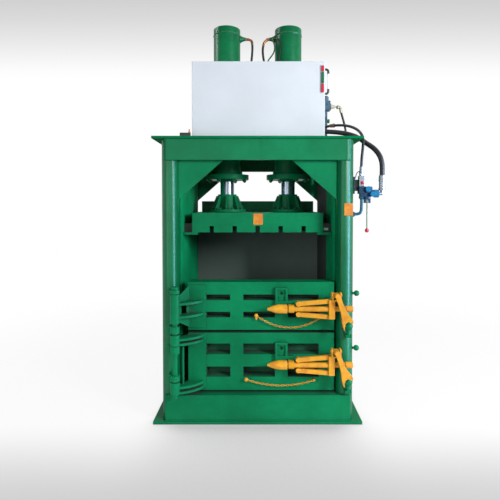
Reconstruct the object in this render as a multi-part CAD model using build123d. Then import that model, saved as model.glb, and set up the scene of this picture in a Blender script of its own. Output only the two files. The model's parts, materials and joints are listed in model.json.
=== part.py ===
from build123d import *
import math
import os

# Vertical two-cylinder recycling baler. Millimetres.
# X runs to the right seen from the front, Y away from the front, Z up.
# The origin is the middle of the base plate's underside.

# Frame
outer_half_width = 673.0
column_width = 116.0
column_depth = 120.0
column_corner = 40.0
column_wall = 10.0
frame_half_depth = 530.0
column_top = 1992.0
base_side = 58.0
base_overhang = 30.0
base_thick = 20.0
top_thick = 16.0
header_thick = 16.0
header_inset = 26.0
header_bottom = 1845.0
sill_top = 200.0
plate = 12.0
gusset_setback = 30.0
gusset_inner_x = 245.0
gusset_drop = 273.0
floor_thick = 14.0
back_wall_top = 1400.0
back_wall_gap = 12.0
rib_depth = 70.0
rib_height = 60.0
rib_count = 5
bearer_half_width = 30.0

# Press
cylinder_x = 248.0
barrel_radius = 107.5
barrel_bore = 80.0
barrel_top = 2948.0
barrel_cap = 26.0
weld_ring = 4.0
ring_drop = 54.0
port_z = 2877.0
port_length = 28.0
port_radius = 15.0
mount_flange_radius = 158.0
mount_flange_thick = 30.0
gland_radius = 175.0
gland_bottom = 1736.0
gland_thick = 71.0
gland_plate = 40.0
gland_lip = 14.0
rod_radius = 56.0
piston_thick = 60.0
piston_drop = 40.0
running_fit = 0.05
seat_gap = 0.3
platen_bottom = 1332.0
platen_height = 144.0
platen_side = 65.0
platen_front_gap = 158.0
platen_wall = 16.0
tie_slot_width = 32.0
tie_slot_height = 46.0
tie_slot_pitch = 169.0
tie_slot_count = 5
wing_thick = 17.0
wing_clearance = 5.0
shoe_length = 70.0
shoe_height = 64.0
boss_height = 143.0
boss_hub_radius = 76.0
boss_flange_radius = 150.0
boss_flange_thick = 22.0
boss_rib_count = 8
stiffener_y = 190.0
stiffener_height = 90.0

# Doors
door_setback = 30.0
door_depth = 108.0
door_step_depth = 60.0
door_hinge_gap = 65.0
door_clearance = 16.0
door_step = 21.0
wall_setback = 90.0
upper_door_z = (648.0, 989.0)
lower_door_z = (217.0, 628.0)
upper_slot_rows = ((737.0, 777.0), (860.0, 900.0))
lower_slot_rows = ((313.0, 386.0), (474.0, 551.0))
slot_columns = ((-364.0, -194.0), (-102.0, 123.0), (214.0, 433.0))
hinge_inset = 108.0
hinge_standoff = 105.0
pin_radius = 18.0
pin_bottom = 214.0
pin_top = 974.0
pin_ball_radius = 20.0
knuckle_radius = 33.0
strap_inset = 16.0
strap_thick = 16.0
upper_straps = (857.0, 767.0)
upper_sleeves = ((724.0, 924.0),)
lower_straps = (612.0, 580.0, 282.0, 247.0)
lower_sleeves = ((573.0, 645.0), (236.0, 320.0))
column_lugs = ((928.0, 956.0), (657.0, 704.0), (519.0, 569.0), (328.0, 367.0))
upper_leaf_z = (668.0, 970.0)
leaf_inset = 2.0
leaf_width = 123.0
leaf_cut = 72.0
leaf_thick = 12.0
leaf_plate = 8.0
stay_bar_inset = 29.0
stay_bar_standoff = 60.0
stay_bar_radius = 9.0

# Latches
latch_z = (817.0, 428.0)
latch_standoff = 80.0
screw_radius = 18.0
screw_end_radius = 22.0
screw_end_inset = (66.0, 15.0)
nose_tip_x = 67.0
nose_x = 204.0
nose_radius = 31.0
bracket_x = (212.0, 252.0)
bracket_face = (125.0, 210.0)
bracket_half_height = 42.0
bracket_height = 136.0
bracket_depth = 26.0
crosshead_x = (489.0, 529.0)
crosshead_half_height = 66.0
crosshead_half_depth = 26.0
arm_tip_x = 272.0
arm_thick = 20.0
arm_half_height = 15.0
arm_tip_offset = 36.0
arm_root_offset = 54.0
link_front = 60.0
link_thick = 24.0
link_top = (541.0, 98.0)
link_pin_radius = 10.0
ball_offset_z = -121.0
ball_inset = 45.0
ball_standoff = 38.0
ball_radius = 31.0
post_radius = 13.0
post_length = 80.0
stop_ball_radius = 20.0
stop_pin_reach = 26.0
stop_pin_rise = 93.0
chain_standoff = 24.0
chain_ends = (((-9.0, 757.0), (447.0, 745.0)), ((-80.0, 303.0), (412.0, 303.0)))
chain_feet = (730.0, 303.0)
chain_sag = (79.0, 42.0)
chain_wire = 3.6
chain_width = 14.0
chain_pitch = 18.0
chain_play = 0.4
chain_knob = 14.0
chain_end_knob = 9.0
chain_stub = 6.4

# Cabinet, power unit and valve
cabinet_x = (-464.0, 476.0)
cabinet_setback = 60.0
cabinet_depth = 295.0
cabinet_top = 2544.0
cabinet_corner = 4.0
sheet = 3.0
key_x = 457.0
key_half_width = 9.0
key_spans = ((2473.0, 2512.0), (2391.0, 2469.0), (2325.0, 2387.0))
key_corner = 3.0
key_proud = 11.0
key_depth = 30.0
key_travel = 6.0
key_gap = 0.5
bezel_margin = 6.0
bezel_thick = 4.0
handle_z = (2330.0, 2502.0)
handle_reach = 30.0
handle_setback = 50.0
tank_x = (-420.0, 420.0)
tank_y = (200.0, 500.0)
tank_top = 2480.0
tank_wall = 8.0
tank_corner = 7.0
tank_lid = 8.0
motor_y = 270.0
motor_z = 2345.0
motor_radius = 66.0
motor_end = 590.0
manifold_half = 70.0
manifold_height = 122.0
pump_bottom = 112.0
pump_height = 180.0
pump_flange = 12.0
relief_x = 545.0
relief_y = -60.0
relief_z = (2285.0, 2362.0)
valve_setback = 60.0
valve_standoff = 41.0
lever_standoff = 104.0
valve_reach = 157.0
valve_port_x = 62.0
elbow_reach = 209.0
elbow_radius = 12.0
lever_top = 1549.0
lever_bottom = 1366.0
lever_gap = 1.0
lever_radius = 5.0
drain_z = 1467.0
feed_hose_radius = 10.0
return_hose_radius = 18.0
cylinder_hose_radius = 9.0

ground_top = base_thick
top_plate_top = column_top + top_thick
base_half_width = outer_half_width + base_side
header_half_width = outer_half_width - header_inset
inner_half_width = outer_half_width - column_width
wall_inner = inner_half_width - plate
rear_inner = frame_half_depth - column_depth
platen_half_width = wall_inner - platen_side
platen_half_depth = frame_half_depth - platen_front_gap
gland_top = gland_bottom + gland_thick
platen_top = platen_bottom + platen_height
rod_seat = platen_top + boss_flange_thick
back_wall_y = platen_half_depth + back_wall_gap
wall_back_y = back_wall_y + plate
wall_front_y = wall_setback - frame_half_depth
door_face_y = door_setback - frame_half_depth
door_step_y = door_face_y + door_step_depth
door_back_y = door_face_y + door_depth
door_left = -inner_half_width + door_hinge_gap
door_right = inner_half_width - door_clearance
gusset_foot = header_bottom - gusset_drop
leaf_x = door_left + leaf_inset
leaf_edge_x = leaf_x + leaf_width
strap_reach_x = leaf_edge_x - strap_inset
stay_bar_x = leaf_x - stay_bar_inset
stay_bar_y = door_face_y - stay_bar_standoff
hinge_x = hinge_inset - outer_half_width
hinge_y = door_face_y - hinge_standoff
latch_y = door_face_y - latch_standoff
screw_end_x = (outer_half_width - screw_end_inset[0], outer_half_width - screw_end_inset[1])
ball_x = outer_half_width - ball_inset
ball_y = -frame_half_depth - ball_standoff
chain_y = door_face_y - chain_standoff
cabinet_y = (cabinet_setback - frame_half_depth, cabinet_setback - frame_half_depth + cabinet_depth)
handle_y = cabinet_y[0] + handle_setback
valve_y = valve_setback - frame_half_depth
lever_x = outer_half_width + lever_standoff
port_end = cylinder_x - barrel_radius - port_length

nodes = {}


def put(name, *solids):
    """Keep one node as its separate solids."""
    found = []
    for shape in solids:
        found.extend(shape.solids())
    nodes[name] = found


def box(x0, x1, y0, y1, z0, z1):
    """A box between two corners."""
    size = Box(x1 - x0, y1 - y0, z1 - z0)
    return Pos((x0 + x1) / 2, (y0 + y1) / 2, (z0 + z1) / 2) * size


def rod_z(x, y, z0, z1, radius):
    """A round bar along Z."""
    return Pos(x, y, (z0 + z1) / 2) * Cylinder(radius, z1 - z0)


def rod_x(x0, x1, y, z, radius):
    """A round bar along X."""
    return Pos((x0 + x1) / 2, y, z) * Rot(0, 90, 0) * Cylinder(radius, x1 - x0)


def rod_y(x, y0, y1, z, radius):
    """A round bar along Y."""
    return Pos(x, (y0 + y1) / 2, z) * Rot(90, 0, 0) * Cylinder(radius, y1 - y0)


def front_plate(points, y0, y1):
    """A flat plate with a straight-edged outline in X and Z, between two depths."""
    outline = make_face(Polyline(*[(x, z) for x, z in points], close=True))
    return Pos(0, y1, 0) * extrude(Rot(90, 0, 0) * outline, y1 - y0, dir=(0, -1, 0))


def level_plate(points, z0, z1):
    """A flat plate with an outline in X and Y, between two heights."""
    return Pos(0, 0, z0) * extrude(make_face(Polyline(*points, close=True)), z1 - z0)


def hex_bolt(radius, height):
    """A hexagon bolt head standing on the XY plane, with the end of its shank."""
    head = extrude(RegularPolygon(radius, 6), height)
    shank_top = height * 1.4
    return head + Pos(0, 0, shank_top / 2) * Cylinder(radius * 0.5, shank_top)


def ring_of(shape, count, radius, start=0.0):
    """Copies of a shape round the Z axis."""
    turn = 360.0 / count
    return [Rot(0, 0, start + turn * i) * Pos(radius, 0, 0) * shape for i in range(count)]


def tube_path(name, points, radius):
    """A hose of straight runs and tangent arcs, as large as the runs allow."""
    places = [Vector(*p) for p in points]
    radii = []
    for before, here, after in zip(places, places[1:], places[2:]):
        turn = math.radians((here - before).get_angle(after - here))
        run = min((here - before).length, (after - here).length)
        radii.append(0.45 * run / math.tan(turn / 2))
    path = FilletPolyline(*points, radius=radii)
    start = Plane(origin=path @ 0, z_dir=path % 0)
    hose = sweep(start * Circle(radius), path=path)
    ratio = hose.volume / (math.pi * radius ** 2 * path.length)
    print(f"{name}: length {path.length:.0f}, tightest arc {min(radii):.0f}, volume ratio {ratio:.4f}")
    put(name, hose)


# Base, top and columns
base_y = frame_half_depth + base_overhang
put("base_plate", box(-base_half_width, base_half_width, -base_y, base_y, 0, base_thick))
top_plate = box(-base_half_width, base_half_width, -base_y, base_y, column_top, top_plate_top)
for side in (-1, 1):
    top_plate -= rod_z(side * cylinder_x, 0, column_top - 1, top_plate_top + 1, barrel_radius + seat_gap)
put("top_plate", top_plate)

column_x = outer_half_width - column_width / 2
column_y = frame_half_depth - column_depth / 2
column_outline = RectangleRounded(column_width, column_depth, column_corner)
column_hole = RectangleRounded(
    column_width - 2 * column_wall, column_depth - 2 * column_wall, column_corner - column_wall
)
column = Pos(0, 0, ground_top) * extrude(column_outline - column_hole, column_top - ground_top)
for depth_name, depth_side in (("front", -1), ("rear", 1)):
    left_column = Pos(-column_x, depth_side * column_y, 0) * column
    right_column = Pos(column_x, depth_side * column_y, 0) * column
    put(f"{depth_name}_columns", left_column, right_column)

# Headers, sills and gussets, front and rear alike
headers = []
floor_frame = []
gussets = []
for depth_side in (-1, 1):
    face = depth_side * frame_half_depth
    proud = depth_side * (frame_half_depth + header_thick)
    y0, y1 = sorted((face, proud))
    headers.append(box(-header_half_width, header_half_width, y0, y1, header_bottom, column_top))
    inner = depth_side * (frame_half_depth - column_depth)
    z0, z1 = sorted((face, inner))
    sill = box(-header_half_width, header_half_width, y0, y1, ground_top, sill_top)
    sill += box(-inner_half_width, inner_half_width, z0, z1, sill_top - plate, sill_top)
    for x in (-inner_half_width / 2, inner_half_width / 2):
        sill += box(x - plate / 2, x + plate / 2, z0, z1, ground_top, sill_top - plate)
    floor_frame.append(sill)
    g0 = depth_side * (frame_half_depth - gusset_setback)
    g1 = g0 - depth_side * plate
    for side in (-1, 1):
        edge = Polyline(
            (side * gusset_inner_x, header_bottom), (side * inner_half_width, gusset_foot),
            (side * inner_half_width, column_top), (side * gusset_inner_x, column_top), close=True,
        )
        web = extrude(Rot(90, 0, 0) * make_face(edge), abs(g1 - g0), dir=(0, -1, 0))
        gussets.append(Pos(0, max(g0, g1), 0) * web)
put("headers", *headers)
put("corner_gussets", *gussets)

# Chamber
side_walls = []
ribs = []
for side in (-1, 1):
    x0, x1 = sorted((side * wall_inner, side * inner_half_width))
    wall = box(x0, x1, -rear_inner, rear_inner, ground_top, column_top)
    side_walls.append(wall + box(x0, x1, wall_front_y, -rear_inner, sill_top, column_top))
    rib_front = -rear_inner
    r0, r1 = sorted((side * inner_half_width, side * (inner_half_width + rib_depth)))
    h0, h1 = sorted((side * inner_half_width, side * (inner_half_width + rib_depth - column_wall)))
    for i in range(rib_count):
        z = sill_top + (header_bottom - sill_top) * (i + 0.5) / rib_count
        rib = box(r0, r1, rib_front, -rib_front, z, z + rib_height)
        rib -= box(h0, h1, rib_front - 1, 1 - rib_front, z + column_wall, z + rib_height - column_wall)
        ribs.append(rib)
put("side_walls", *side_walls)

put("back_wall", box(-wall_inner, wall_inner, back_wall_y, wall_back_y, sill_top, back_wall_top))

for i in range(rib_count - 1):
    z = sill_top + (back_wall_top - sill_top) * (i + 0.5) / (rib_count - 1)
    rib = box(-inner_half_width, inner_half_width, rear_inner, rear_inner + rib_depth, z, z + rib_height)
    web_depth = rib_depth - column_wall
    rib -= box(-inner_half_width - 1, inner_half_width + 1, rear_inner, rear_inner + web_depth,
               z + column_wall, z + rib_height - column_wall)
    rib += box(-wall_inner, wall_inner, wall_back_y, rear_inner, z, z + column_wall)
    ribs.append(rib)
put("wall_ribs", *ribs)

floor_y0 = -rear_inner
chamber_floor = box(-wall_inner, wall_inner, floor_y0, rear_inner, sill_top - floor_thick, sill_top)
tie_places = [(i - (tie_slot_count - 1) / 2) * tie_slot_pitch for i in range(tie_slot_count)]
for x in tie_places:
    groove = box(x - tie_slot_width / 2, x + tie_slot_width / 2, floor_y0 - 1, rear_inner + 1,
                 sill_top - floor_thick / 2, sill_top + 1)
    chamber_floor -= groove
put("chamber_floor", chamber_floor)
for x in (-inner_half_width / 2, 0, inner_half_width / 2):
    bearer_in = bearer_half_width - column_wall
    bearer_top = sill_top - floor_thick
    bearer = box(x - bearer_half_width, x + bearer_half_width, floor_y0, rear_inner, ground_top, bearer_top)
    bearer -= box(x - bearer_in, x + bearer_in, floor_y0 - 1, rear_inner + 1,
                  ground_top + column_wall, bearer_top - column_wall)
    floor_frame.append(bearer)
put("floor_frame", *floor_frame)

# Cylinders and glands
barrels = []
glands = []
frame_bolts = []
for side in (-1, 1):
    profile = Polyline(
        (barrel_bore, gland_top),
        (barrel_radius, gland_top),
        (barrel_radius, top_plate_top),
        (mount_flange_radius, top_plate_top),
        (mount_flange_radius, top_plate_top + mount_flange_thick),
        (barrel_radius, top_plate_top + mount_flange_thick),
        (barrel_radius, barrel_top - ring_drop - 6),
        (barrel_radius + weld_ring, barrel_top - ring_drop),
        (barrel_radius, barrel_top - ring_drop + 6),
        (barrel_radius, barrel_top - 4),
        (barrel_radius - 4, barrel_top),
        (0, barrel_top),
        (0, barrel_top - barrel_cap),
        (barrel_bore, barrel_top - barrel_cap),
        close=True,
    )
    barrel = revolve(Rot(90, 0, 0) * make_face(profile), Axis.Z)
    port = rod_x(barrel_radius - 6, barrel_radius + port_length, 0, port_z, port_radius)
    barrel += port if side < 0 else Rot(0, 0, 180) * port
    barrels.append(Pos(side * cylinder_x, 0, 0) * barrel)
    gland_profile = Polyline(
        (rod_radius + running_fit, gland_bottom - 14),
        (rod_radius + 24, gland_bottom - 14),
        (rod_radius + 30, gland_bottom),
        (gland_radius - 5, gland_bottom),
        (gland_radius, gland_bottom + 5),
        (gland_radius, gland_bottom + 40),
        (barrel_radius + 16, gland_bottom + 40),
        (barrel_radius + 16, gland_top),
        (rod_radius + running_fit, gland_top),
        close=True,
    )
    gland = revolve(Rot(90, 0, 0) * make_face(gland_profile), Axis.Z)
    glands.append(Pos(side * cylinder_x, 0, 0) * gland)
    for bolt in ring_of(Rot(180, 0, 0) * hex_bolt(15, 13), 8, gland_radius - 24, 22.5):
        frame_bolts.append(Pos(side * cylinder_x, 0, gland_bottom) * bolt)
    for bolt in ring_of(hex_bolt(13, 11), 8, mount_flange_radius - 20, 22.5):
        frame_bolts.append(Pos(side * cylinder_x, 0, top_plate_top + mount_flange_thick) * bolt)
put("cylinder_barrels", *barrels)
put("cylinder_glands", *glands)
put("cylinder_bolts", *frame_bolts)

# Platen, rods and bosses
platen = box(-platen_half_width, platen_half_width, -platen_half_depth, platen_half_depth,
             platen_bottom, platen_top)
slot_roof = platen_bottom + tie_slot_height
for x in tie_places:
    platen -= box(x - tie_slot_width / 2, x + tie_slot_width / 2,
                  -platen_half_depth - 1, platen_half_depth + 1,
                  platen_bottom - 1, slot_roof)
platen -= box(-platen_half_width + platen_wall, platen_half_width - platen_wall,
              -platen_half_depth + platen_wall, platen_half_depth + 1, slot_roof + platen_wall,
              platen_top - platen_wall)
for side in (-1, 1):
    rib_x = side * cylinder_x
    platen += box(rib_x - platen_wall / 2, rib_x + platen_wall / 2, -platen_half_depth + platen_wall,
                  platen_half_depth - platen_wall, slot_roof, platen_top)
platen += box(-platen_half_width, platen_half_width, stiffener_y - plate / 2, stiffener_y + plate / 2,
              platen_top - platen_wall, platen_top + stiffener_height)
wing_edge = wall_inner - wing_clearance
shoes = []
for side in (-1, 1):
    x0, x1 = sorted((side * (platen_half_width - 40), side * wing_edge))
    platen += box(x0, x1, -platen_half_depth, platen_half_depth, platen_bottom - wing_thick, platen_bottom)
    s0, s1 = sorted((side * platen_half_width, side * (wall_inner - 1)))
    for y in (-platen_half_depth + shoe_length, platen_half_depth - shoe_length):
        shoe = box(s0, s1, y - shoe_length / 2, y + shoe_length / 2,
                   platen_bottom, platen_bottom + shoe_height)
        shoes.append(shoe)
put("platen", platen)
put("platen_shoes", *shoes)
bosses = []
rods = []
boss_bolts = []
rib_reach = boss_flange_radius - 16
piston_top = barrel_top - barrel_cap - piston_drop
piston_bottom = piston_top - piston_thick
for side in (-1, 1):
    boss = rod_z(0, 0, platen_top, platen_top + boss_flange_thick, boss_flange_radius)
    boss += rod_z(0, 0, platen_top, platen_top + boss_height, boss_hub_radius)
    rib_face = make_face(Polyline(
        (boss_hub_radius - 6, boss_flange_thick - 1),
        (rib_reach, boss_flange_thick - 1),
        (rib_reach - 6, boss_flange_thick + 14),
        (boss_hub_radius + 12, boss_height - 12),
        (boss_hub_radius - 6, boss_height - 12),
        close=True,
    ))
    rib = Pos(0, plate / 2, 0) * extrude(Rot(90, 0, 0) * rib_face, plate, dir=(0, -1, 0))
    for turned in ring_of(Pos(0, 0, platen_top) * rib, boss_rib_count, 0):
        boss += turned
    boss -= rod_z(0, 0, rod_seat, platen_top + boss_height + 1, rod_radius + running_fit)
    bosses.append(Pos(side * cylinder_x, 0, 0) * boss)
    for bolt in ring_of(hex_bolt(13, 12), boss_rib_count, boss_flange_radius - 24, 180 / boss_rib_count):
        boss_bolts.append(Pos(side * cylinder_x, 0, platen_top + boss_flange_thick) * bolt)
    rod = rod_z(side * cylinder_x, 0, rod_seat, piston_bottom, rod_radius)
    rods.append(rod + rod_z(side * cylinder_x, 0, piston_bottom, piston_top, barrel_bore - running_fit))
put("rod_bosses", *bosses)
put("piston_rods", *rods)
put("boss_bolts", *boss_bolts)


def door_panel(z_low, z_high, rows):
    """A welded door: slotted face plate, channel webs behind it and a back skin."""
    body = box(door_left, door_right, door_face_y, door_step_y, z_low, z_high)
    body += box(door_left, door_right - door_step, door_step_y, door_back_y, z_low, z_high)
    rail_edges = [z_low] + [edge for row in rows for edge in row] + [z_high]
    stile_edges = [door_left] + [edge for pair in slot_columns for edge in pair] + [door_right - door_step]
    skin_y = door_back_y - plate
    for z0, z1 in rows:
        for x0, x1 in slot_columns:
            body -= box(x0, x1, door_face_y - 1, skin_y, z0, z1)
    for low, high in zip(rail_edges[::2], rail_edges[1::2]):
        body -= box(stile_edges[0] + plate, stile_edges[-1] - plate, door_face_y + plate, skin_y,
                    low + plate, high - plate)
    for left, right in zip(stile_edges[::2], stile_edges[1::2]):
        if right - left > 3 * plate:
            for z0, z1 in rows:
                body -= box(left + plate, right - plate, door_face_y + plate, skin_y, z0 + plate, z1 - plate)
    return body


def strap_plate(z, thick):
    """A level hinge strap from the pin back along the door face, its front edge bowed outwards."""
    root = (hinge_x + pin_radius * 0.9, hinge_y - knuckle_radius * 0.6)
    tip = (strap_reach_x, door_face_y - 14)
    bow = (root[0] + (tip[0] - root[0]) * 0.55, root[1] + (tip[1] - root[1]) * 0.3)
    edge = ThreePointArc(root, bow, tip)
    edge += Polyline(
        tip, (strap_reach_x, door_face_y), (door_left + 8, door_face_y),
        (hinge_x + 8, hinge_y + knuckle_radius), root,
    )
    return Pos(0, 0, z - thick / 2) * extrude(make_face(edge), thick)


def hinge_leaf(straps, sleeves):
    """Knuckle sleeves on the pin, joined to level straps."""
    leaf = None
    for low, high in sleeves:
        sleeve = rod_z(hinge_x, hinge_y, low, high, knuckle_radius)
        leaf = sleeve if leaf is None else leaf + sleeve
    for z in straps:
        leaf += strap_plate(z, strap_thick)
    return leaf


def bore_pin(shape):
    """Cut the running hole for the hinge pin."""
    return shape - rod_z(hinge_x, hinge_y, 0, column_top, pin_radius + running_fit)


put("upper_door_panel", door_panel(*upper_door_z, upper_slot_rows))
put("lower_door_panel", door_panel(*lower_door_z, lower_slot_rows))

upper_leaf = hinge_leaf(upper_straps, upper_sleeves)
leaf_low, leaf_high = upper_leaf_z
leaf_root_x = hinge_x + knuckle_radius * 0.45
leaf_root_y = hinge_y + knuckle_radius * 0.5
leaf_solid = level_plate([
    (leaf_x + leaf_thick, door_face_y + 2), (leaf_x, door_face_y + 2), (leaf_root_x, leaf_root_y),
    (leaf_root_x + leaf_thick, leaf_root_y - 4),
], leaf_low, leaf_high)
leaf_y0 = hinge_y - 60
cut_x = leaf_x + 4
for tip, sign in ((leaf_high, -1), (leaf_low, 1)):
    notch = [
        (cut_x - leaf_cut - 10, tip - sign), (cut_x, tip - sign), (cut_x, tip + sign * 6),
        (cut_x - leaf_cut, tip + sign * (leaf_cut + 6)), (cut_x - leaf_cut - 10, tip + sign * (leaf_cut + 6)),
    ]
    leaf_solid -= front_plate(notch, leaf_y0, door_face_y + 5)
leaf_solid -= box(leaf_root_x + 22, leaf_x - 8, leaf_y0, door_face_y,
                  upper_straps[1] + 8, upper_straps[0] - 8)
upper_leaf += leaf_solid
upper_leaf += box(leaf_x, leaf_edge_x, door_face_y - leaf_plate, door_face_y, leaf_low, leaf_high)
upper_leaf -= box(door_left, 0, door_face_y, door_back_y, 1, column_top)
put("upper_door_hinge_leaf", bore_pin(upper_leaf))

lower_leaf = hinge_leaf(lower_straps, lower_sleeves)
lower_leaf += rod_z(stay_bar_x, stay_bar_y, lower_straps[3], lower_straps[0], stay_bar_radius)
lower_leaf += box(leaf_x, leaf_edge_x, door_face_y - leaf_plate, door_face_y,
                  lower_straps[3] - 14, lower_straps[0] + 14)
put("lower_door_hinge_leaf", bore_pin(lower_leaf))

hinge_pin = rod_z(hinge_x, hinge_y, pin_bottom, pin_top, pin_radius)
hinge_pin += Pos(hinge_x, hinge_y, pin_bottom) * Sphere(pin_ball_radius)
hinge_pin += rod_z(hinge_x, hinge_y, column_lugs[0][1] + 1, pin_top, pin_radius + 8)
put("hinge_pin", hinge_pin)
lugs = []
for low, high in column_lugs:
    lug = box(hinge_x - 46, hinge_x + 8, hinge_y, -frame_half_depth, low, high)
    lug += rod_z(hinge_x, hinge_y, low, high, knuckle_radius)
    lugs.append(bore_pin(lug))
put("column_hinge_lugs", *lugs)


def door_latch(prefix, z):
    """One screw latch: bracket, screw, crosshead with arms and pin, and hook link."""
    x0, x1 = bracket_face
    front_y = door_face_y - bracket_depth
    top_z = z + bracket_height
    low_z = z - bracket_half_height
    bracket = box(x0, x1, front_y, door_face_y, low_z, top_z)
    bracket -= box(x0 + 14, x1 - 14, front_y - 1, door_face_y - 12, low_z + 10, top_z - 14)
    bracket += box(x0 + 14, x1 - 14, door_face_y - 14, door_face_y, z + 66, top_z - 14)
    bracket -= rod_y((x0 + x1) / 2, door_face_y - 30, door_face_y + 1, z + 96, 13)
    b0, b1 = bracket_x
    bracket += box(x0, b1, front_y, door_face_y, low_z, z + bracket_half_height)
    bracket += box(b0, b1, latch_y, door_face_y, z - 26, z + 26)
    bracket += rod_x(b0, b1, latch_y, z, 26)
    bracket -= rod_x(b0 - 60, b1 + 1, latch_y, z, screw_radius + running_fit)
    put(f"{prefix}_latch_bracket", bracket)

    shoulder_x, tip_x = screw_end_x
    profile = Polyline(
        (nose_tip_x, 0), (nose_tip_x, 8), (nose_tip_x + 46, nose_radius - 6), (nose_x - 60, nose_radius),
        (nose_x, nose_radius), (nose_x, screw_radius), (shoulder_x, screw_radius),
        (shoulder_x, screw_end_radius), (tip_x - 6, screw_end_radius),
        (tip_x, screw_end_radius - 6), (tip_x, 0), close=True,
    )
    screw = revolve(make_face(profile), Axis.X)
    put(f"{prefix}_latch_screw", Pos(0, latch_y, z) * screw)

    c0, c1 = crosshead_x
    head_y0, head_y1 = latch_y - crosshead_half_depth, latch_y + crosshead_half_depth
    head = box(c0, c1, head_y0, head_y1, z - crosshead_half_height, z + crosshead_half_height)
    for sign in (-1, 1):
        tip_z = z + sign * arm_tip_offset
        root_z = z + sign * arm_root_offset
        arm = [
            (arm_tip_x, tip_z - arm_half_height), (arm_tip_x, tip_z + arm_half_height),
            (c0, root_z + arm_half_height), (c0, root_z - arm_half_height),
        ]
        head += front_plate(arm, latch_y - arm_thick / 2, latch_y + arm_thick / 2)
        head += rod_y(arm_tip_x + 8, latch_y - 15, latch_y + 15, tip_z, arm_half_height + 2)
    head -= rod_x(arm_tip_x - 30, c1 + 1, latch_y, z, screw_radius + running_fit)
    pin_x, pin_rise = link_top
    pin_y = latch_y - 10
    pin_z = z + pin_rise
    ear_low = z + crosshead_half_height - 10
    for x in (pin_x - 34, pin_x + 22):
        head += box(x, x + 12, head_y0, latch_y + 10, ear_low, pin_z + 18)
        head += box(min(x, c1 - 2), x + 12, head_y0, latch_y + 10, ear_low, ear_low + 12)
    head += rod_x(pin_x - 38, pin_x + 38, pin_y, pin_z, link_pin_radius)
    put(f"{prefix}_latch_crosshead", head)

    y0 = latch_y - link_front
    y1 = y0 + link_thick
    ball_z = z + ball_offset_z
    link = front_plate([
        (pin_x - 17, pin_z + 2), (pin_x - 10, pin_z + 15), (pin_x + 8, pin_z + 17), (pin_x + 17, pin_z + 5),
        (pin_x + 33, pin_z - 38), (pin_x + 54, pin_z - 88), (pin_x + 77, pin_z - 126),
        (ball_x + 18, ball_z + 57), (ball_x + 20, ball_z + 38), (ball_x + 10, ball_z + 36),
        (ball_x - 14, ball_z + 46), (ball_x - 30, ball_z + 36), (ball_x - 37, ball_z + 18),
        (ball_x - 39, ball_z - 16), (ball_x - 49, ball_z + 6), (ball_x - 57, ball_z + 46),
        (pin_x + 24, pin_z - 122), (pin_x + 8, pin_z - 64),
    ], y0, y1)
    link += box(pin_x - 17, pin_x + 15, y1, pin_y + 14, pin_z - 14, pin_z + 14)
    link -= rod_x(pin_x - 60, pin_x + 60, pin_y, pin_z, link_pin_radius + running_fit)
    put(f"{prefix}_hook_link", link)


door_latch("upper", latch_z[0])
door_latch("lower", latch_z[1])

# Keeper posts on the right column, and its stop pins
posts = []
for z in latch_z:
    ball_z = z + ball_offset_z
    post = Pos(ball_x, ball_y, ball_z) * Sphere(ball_radius)
    post += rod_z(ball_x, ball_y, ball_z - post_length, ball_z, post_radius)
    post += rod_y(ball_x, ball_y, -frame_half_depth, ball_z, post_radius + 3)
    foot_half = post_radius + 8
    post += box(ball_x - foot_half, ball_x + foot_half, ball_y - post_radius, -frame_half_depth,
                ball_z - post_length, ball_z - post_length + 18)
    posts.append(post)
    stop_x = outer_half_width + stop_pin_reach
    stop_z = z + stop_pin_rise
    stop = Pos(stop_x, door_face_y, stop_z) * Sphere(stop_ball_radius)
    stop += rod_x(outer_half_width, stop_x, door_face_y, stop_z, stop_ball_radius * 0.45)
    posts.append(stop)
put("keeper_posts", *posts)


def chain(name, start, end, sag, foot_z):
    """A hanging chain of square-wire links, its knobs held on the door face, the first one on a foot."""
    x0, z0 = start
    x1, z1 = end

    def place(share):
        """A point of the hanging line."""
        drop = 4 * sag * share * (1 - share)
        return Vector(x0 + (x1 - x0) * share, chain_y, z0 + (z1 - z0) * share - drop)

    inner = chain_pitch + chain_play
    outer = inner + 2 * chain_wire
    ring = SlotOverall(outer, chain_width) - SlotOverall(inner, chain_width - 2 * chain_wire)
    link = Pos(0, 0, -chain_wire / 2) * extrude(ring, chain_wire)
    length = sum((place((i + 1) / 200) - place(i / 200)).length for i in range(200))
    count = int(length / chain_pitch)
    links = []
    share = 0.0
    here = place(0)
    for i in range(count):
        after = share
        while (place(after) - here).length < chain_pitch and after < 1.2:
            after += 0.0005
        middle = (here + place(after)) / 2
        slope = math.degrees(math.atan2(place(after).Z - here.Z, place(after).X - here.X))
        links.append(Pos(middle) * Rot(0, -slope, 0) * Rot(90 * (i % 2), 0, 0) * link)
        share = after
        here = place(after)
    first = place(0)
    start_knob = Pos(first) * Sphere(chain_knob)
    if first.Z - foot_z > chain_stub:
        start_knob += rod_z(first.X, chain_y, foot_z, first.Z, chain_stub)
        start_knob += Pos(first.X, chain_y, foot_z) * Sphere(chain_stub)
    start_knob += rod_y(first.X, chain_y, door_face_y, foot_z, chain_stub)
    end_knob = Pos(here) * Sphere(chain_end_knob)
    end_knob += rod_y(here.X, chain_y, door_face_y, here.Z, chain_stub)
    for near in (0, 1):
        links[near] -= start_knob
        links[-1 - near] -= end_knob
    put(name, start_knob, end_knob, *[one for one in links if one.volume > 1])


for number, chain_name in enumerate(("upper_chain", "lower_chain")):
    chain(chain_name, *chain_ends[number], chain_sag[number], chain_feet[number])

# Plain plates on the platen and the right column
put("platen_plate", box(-31, 38, -platen_half_depth - 3, -platen_half_depth, 1388, 1470))
plate_x = (outer_half_width - 70, outer_half_width - 9)
put("column_plate", box(*plate_x, -frame_half_depth - 3, -frame_half_depth, 1460, 1545))

# Cabinet with push keys and handle
cx0, cx1 = cabinet_x
cy0, cy1 = cabinet_y


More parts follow.
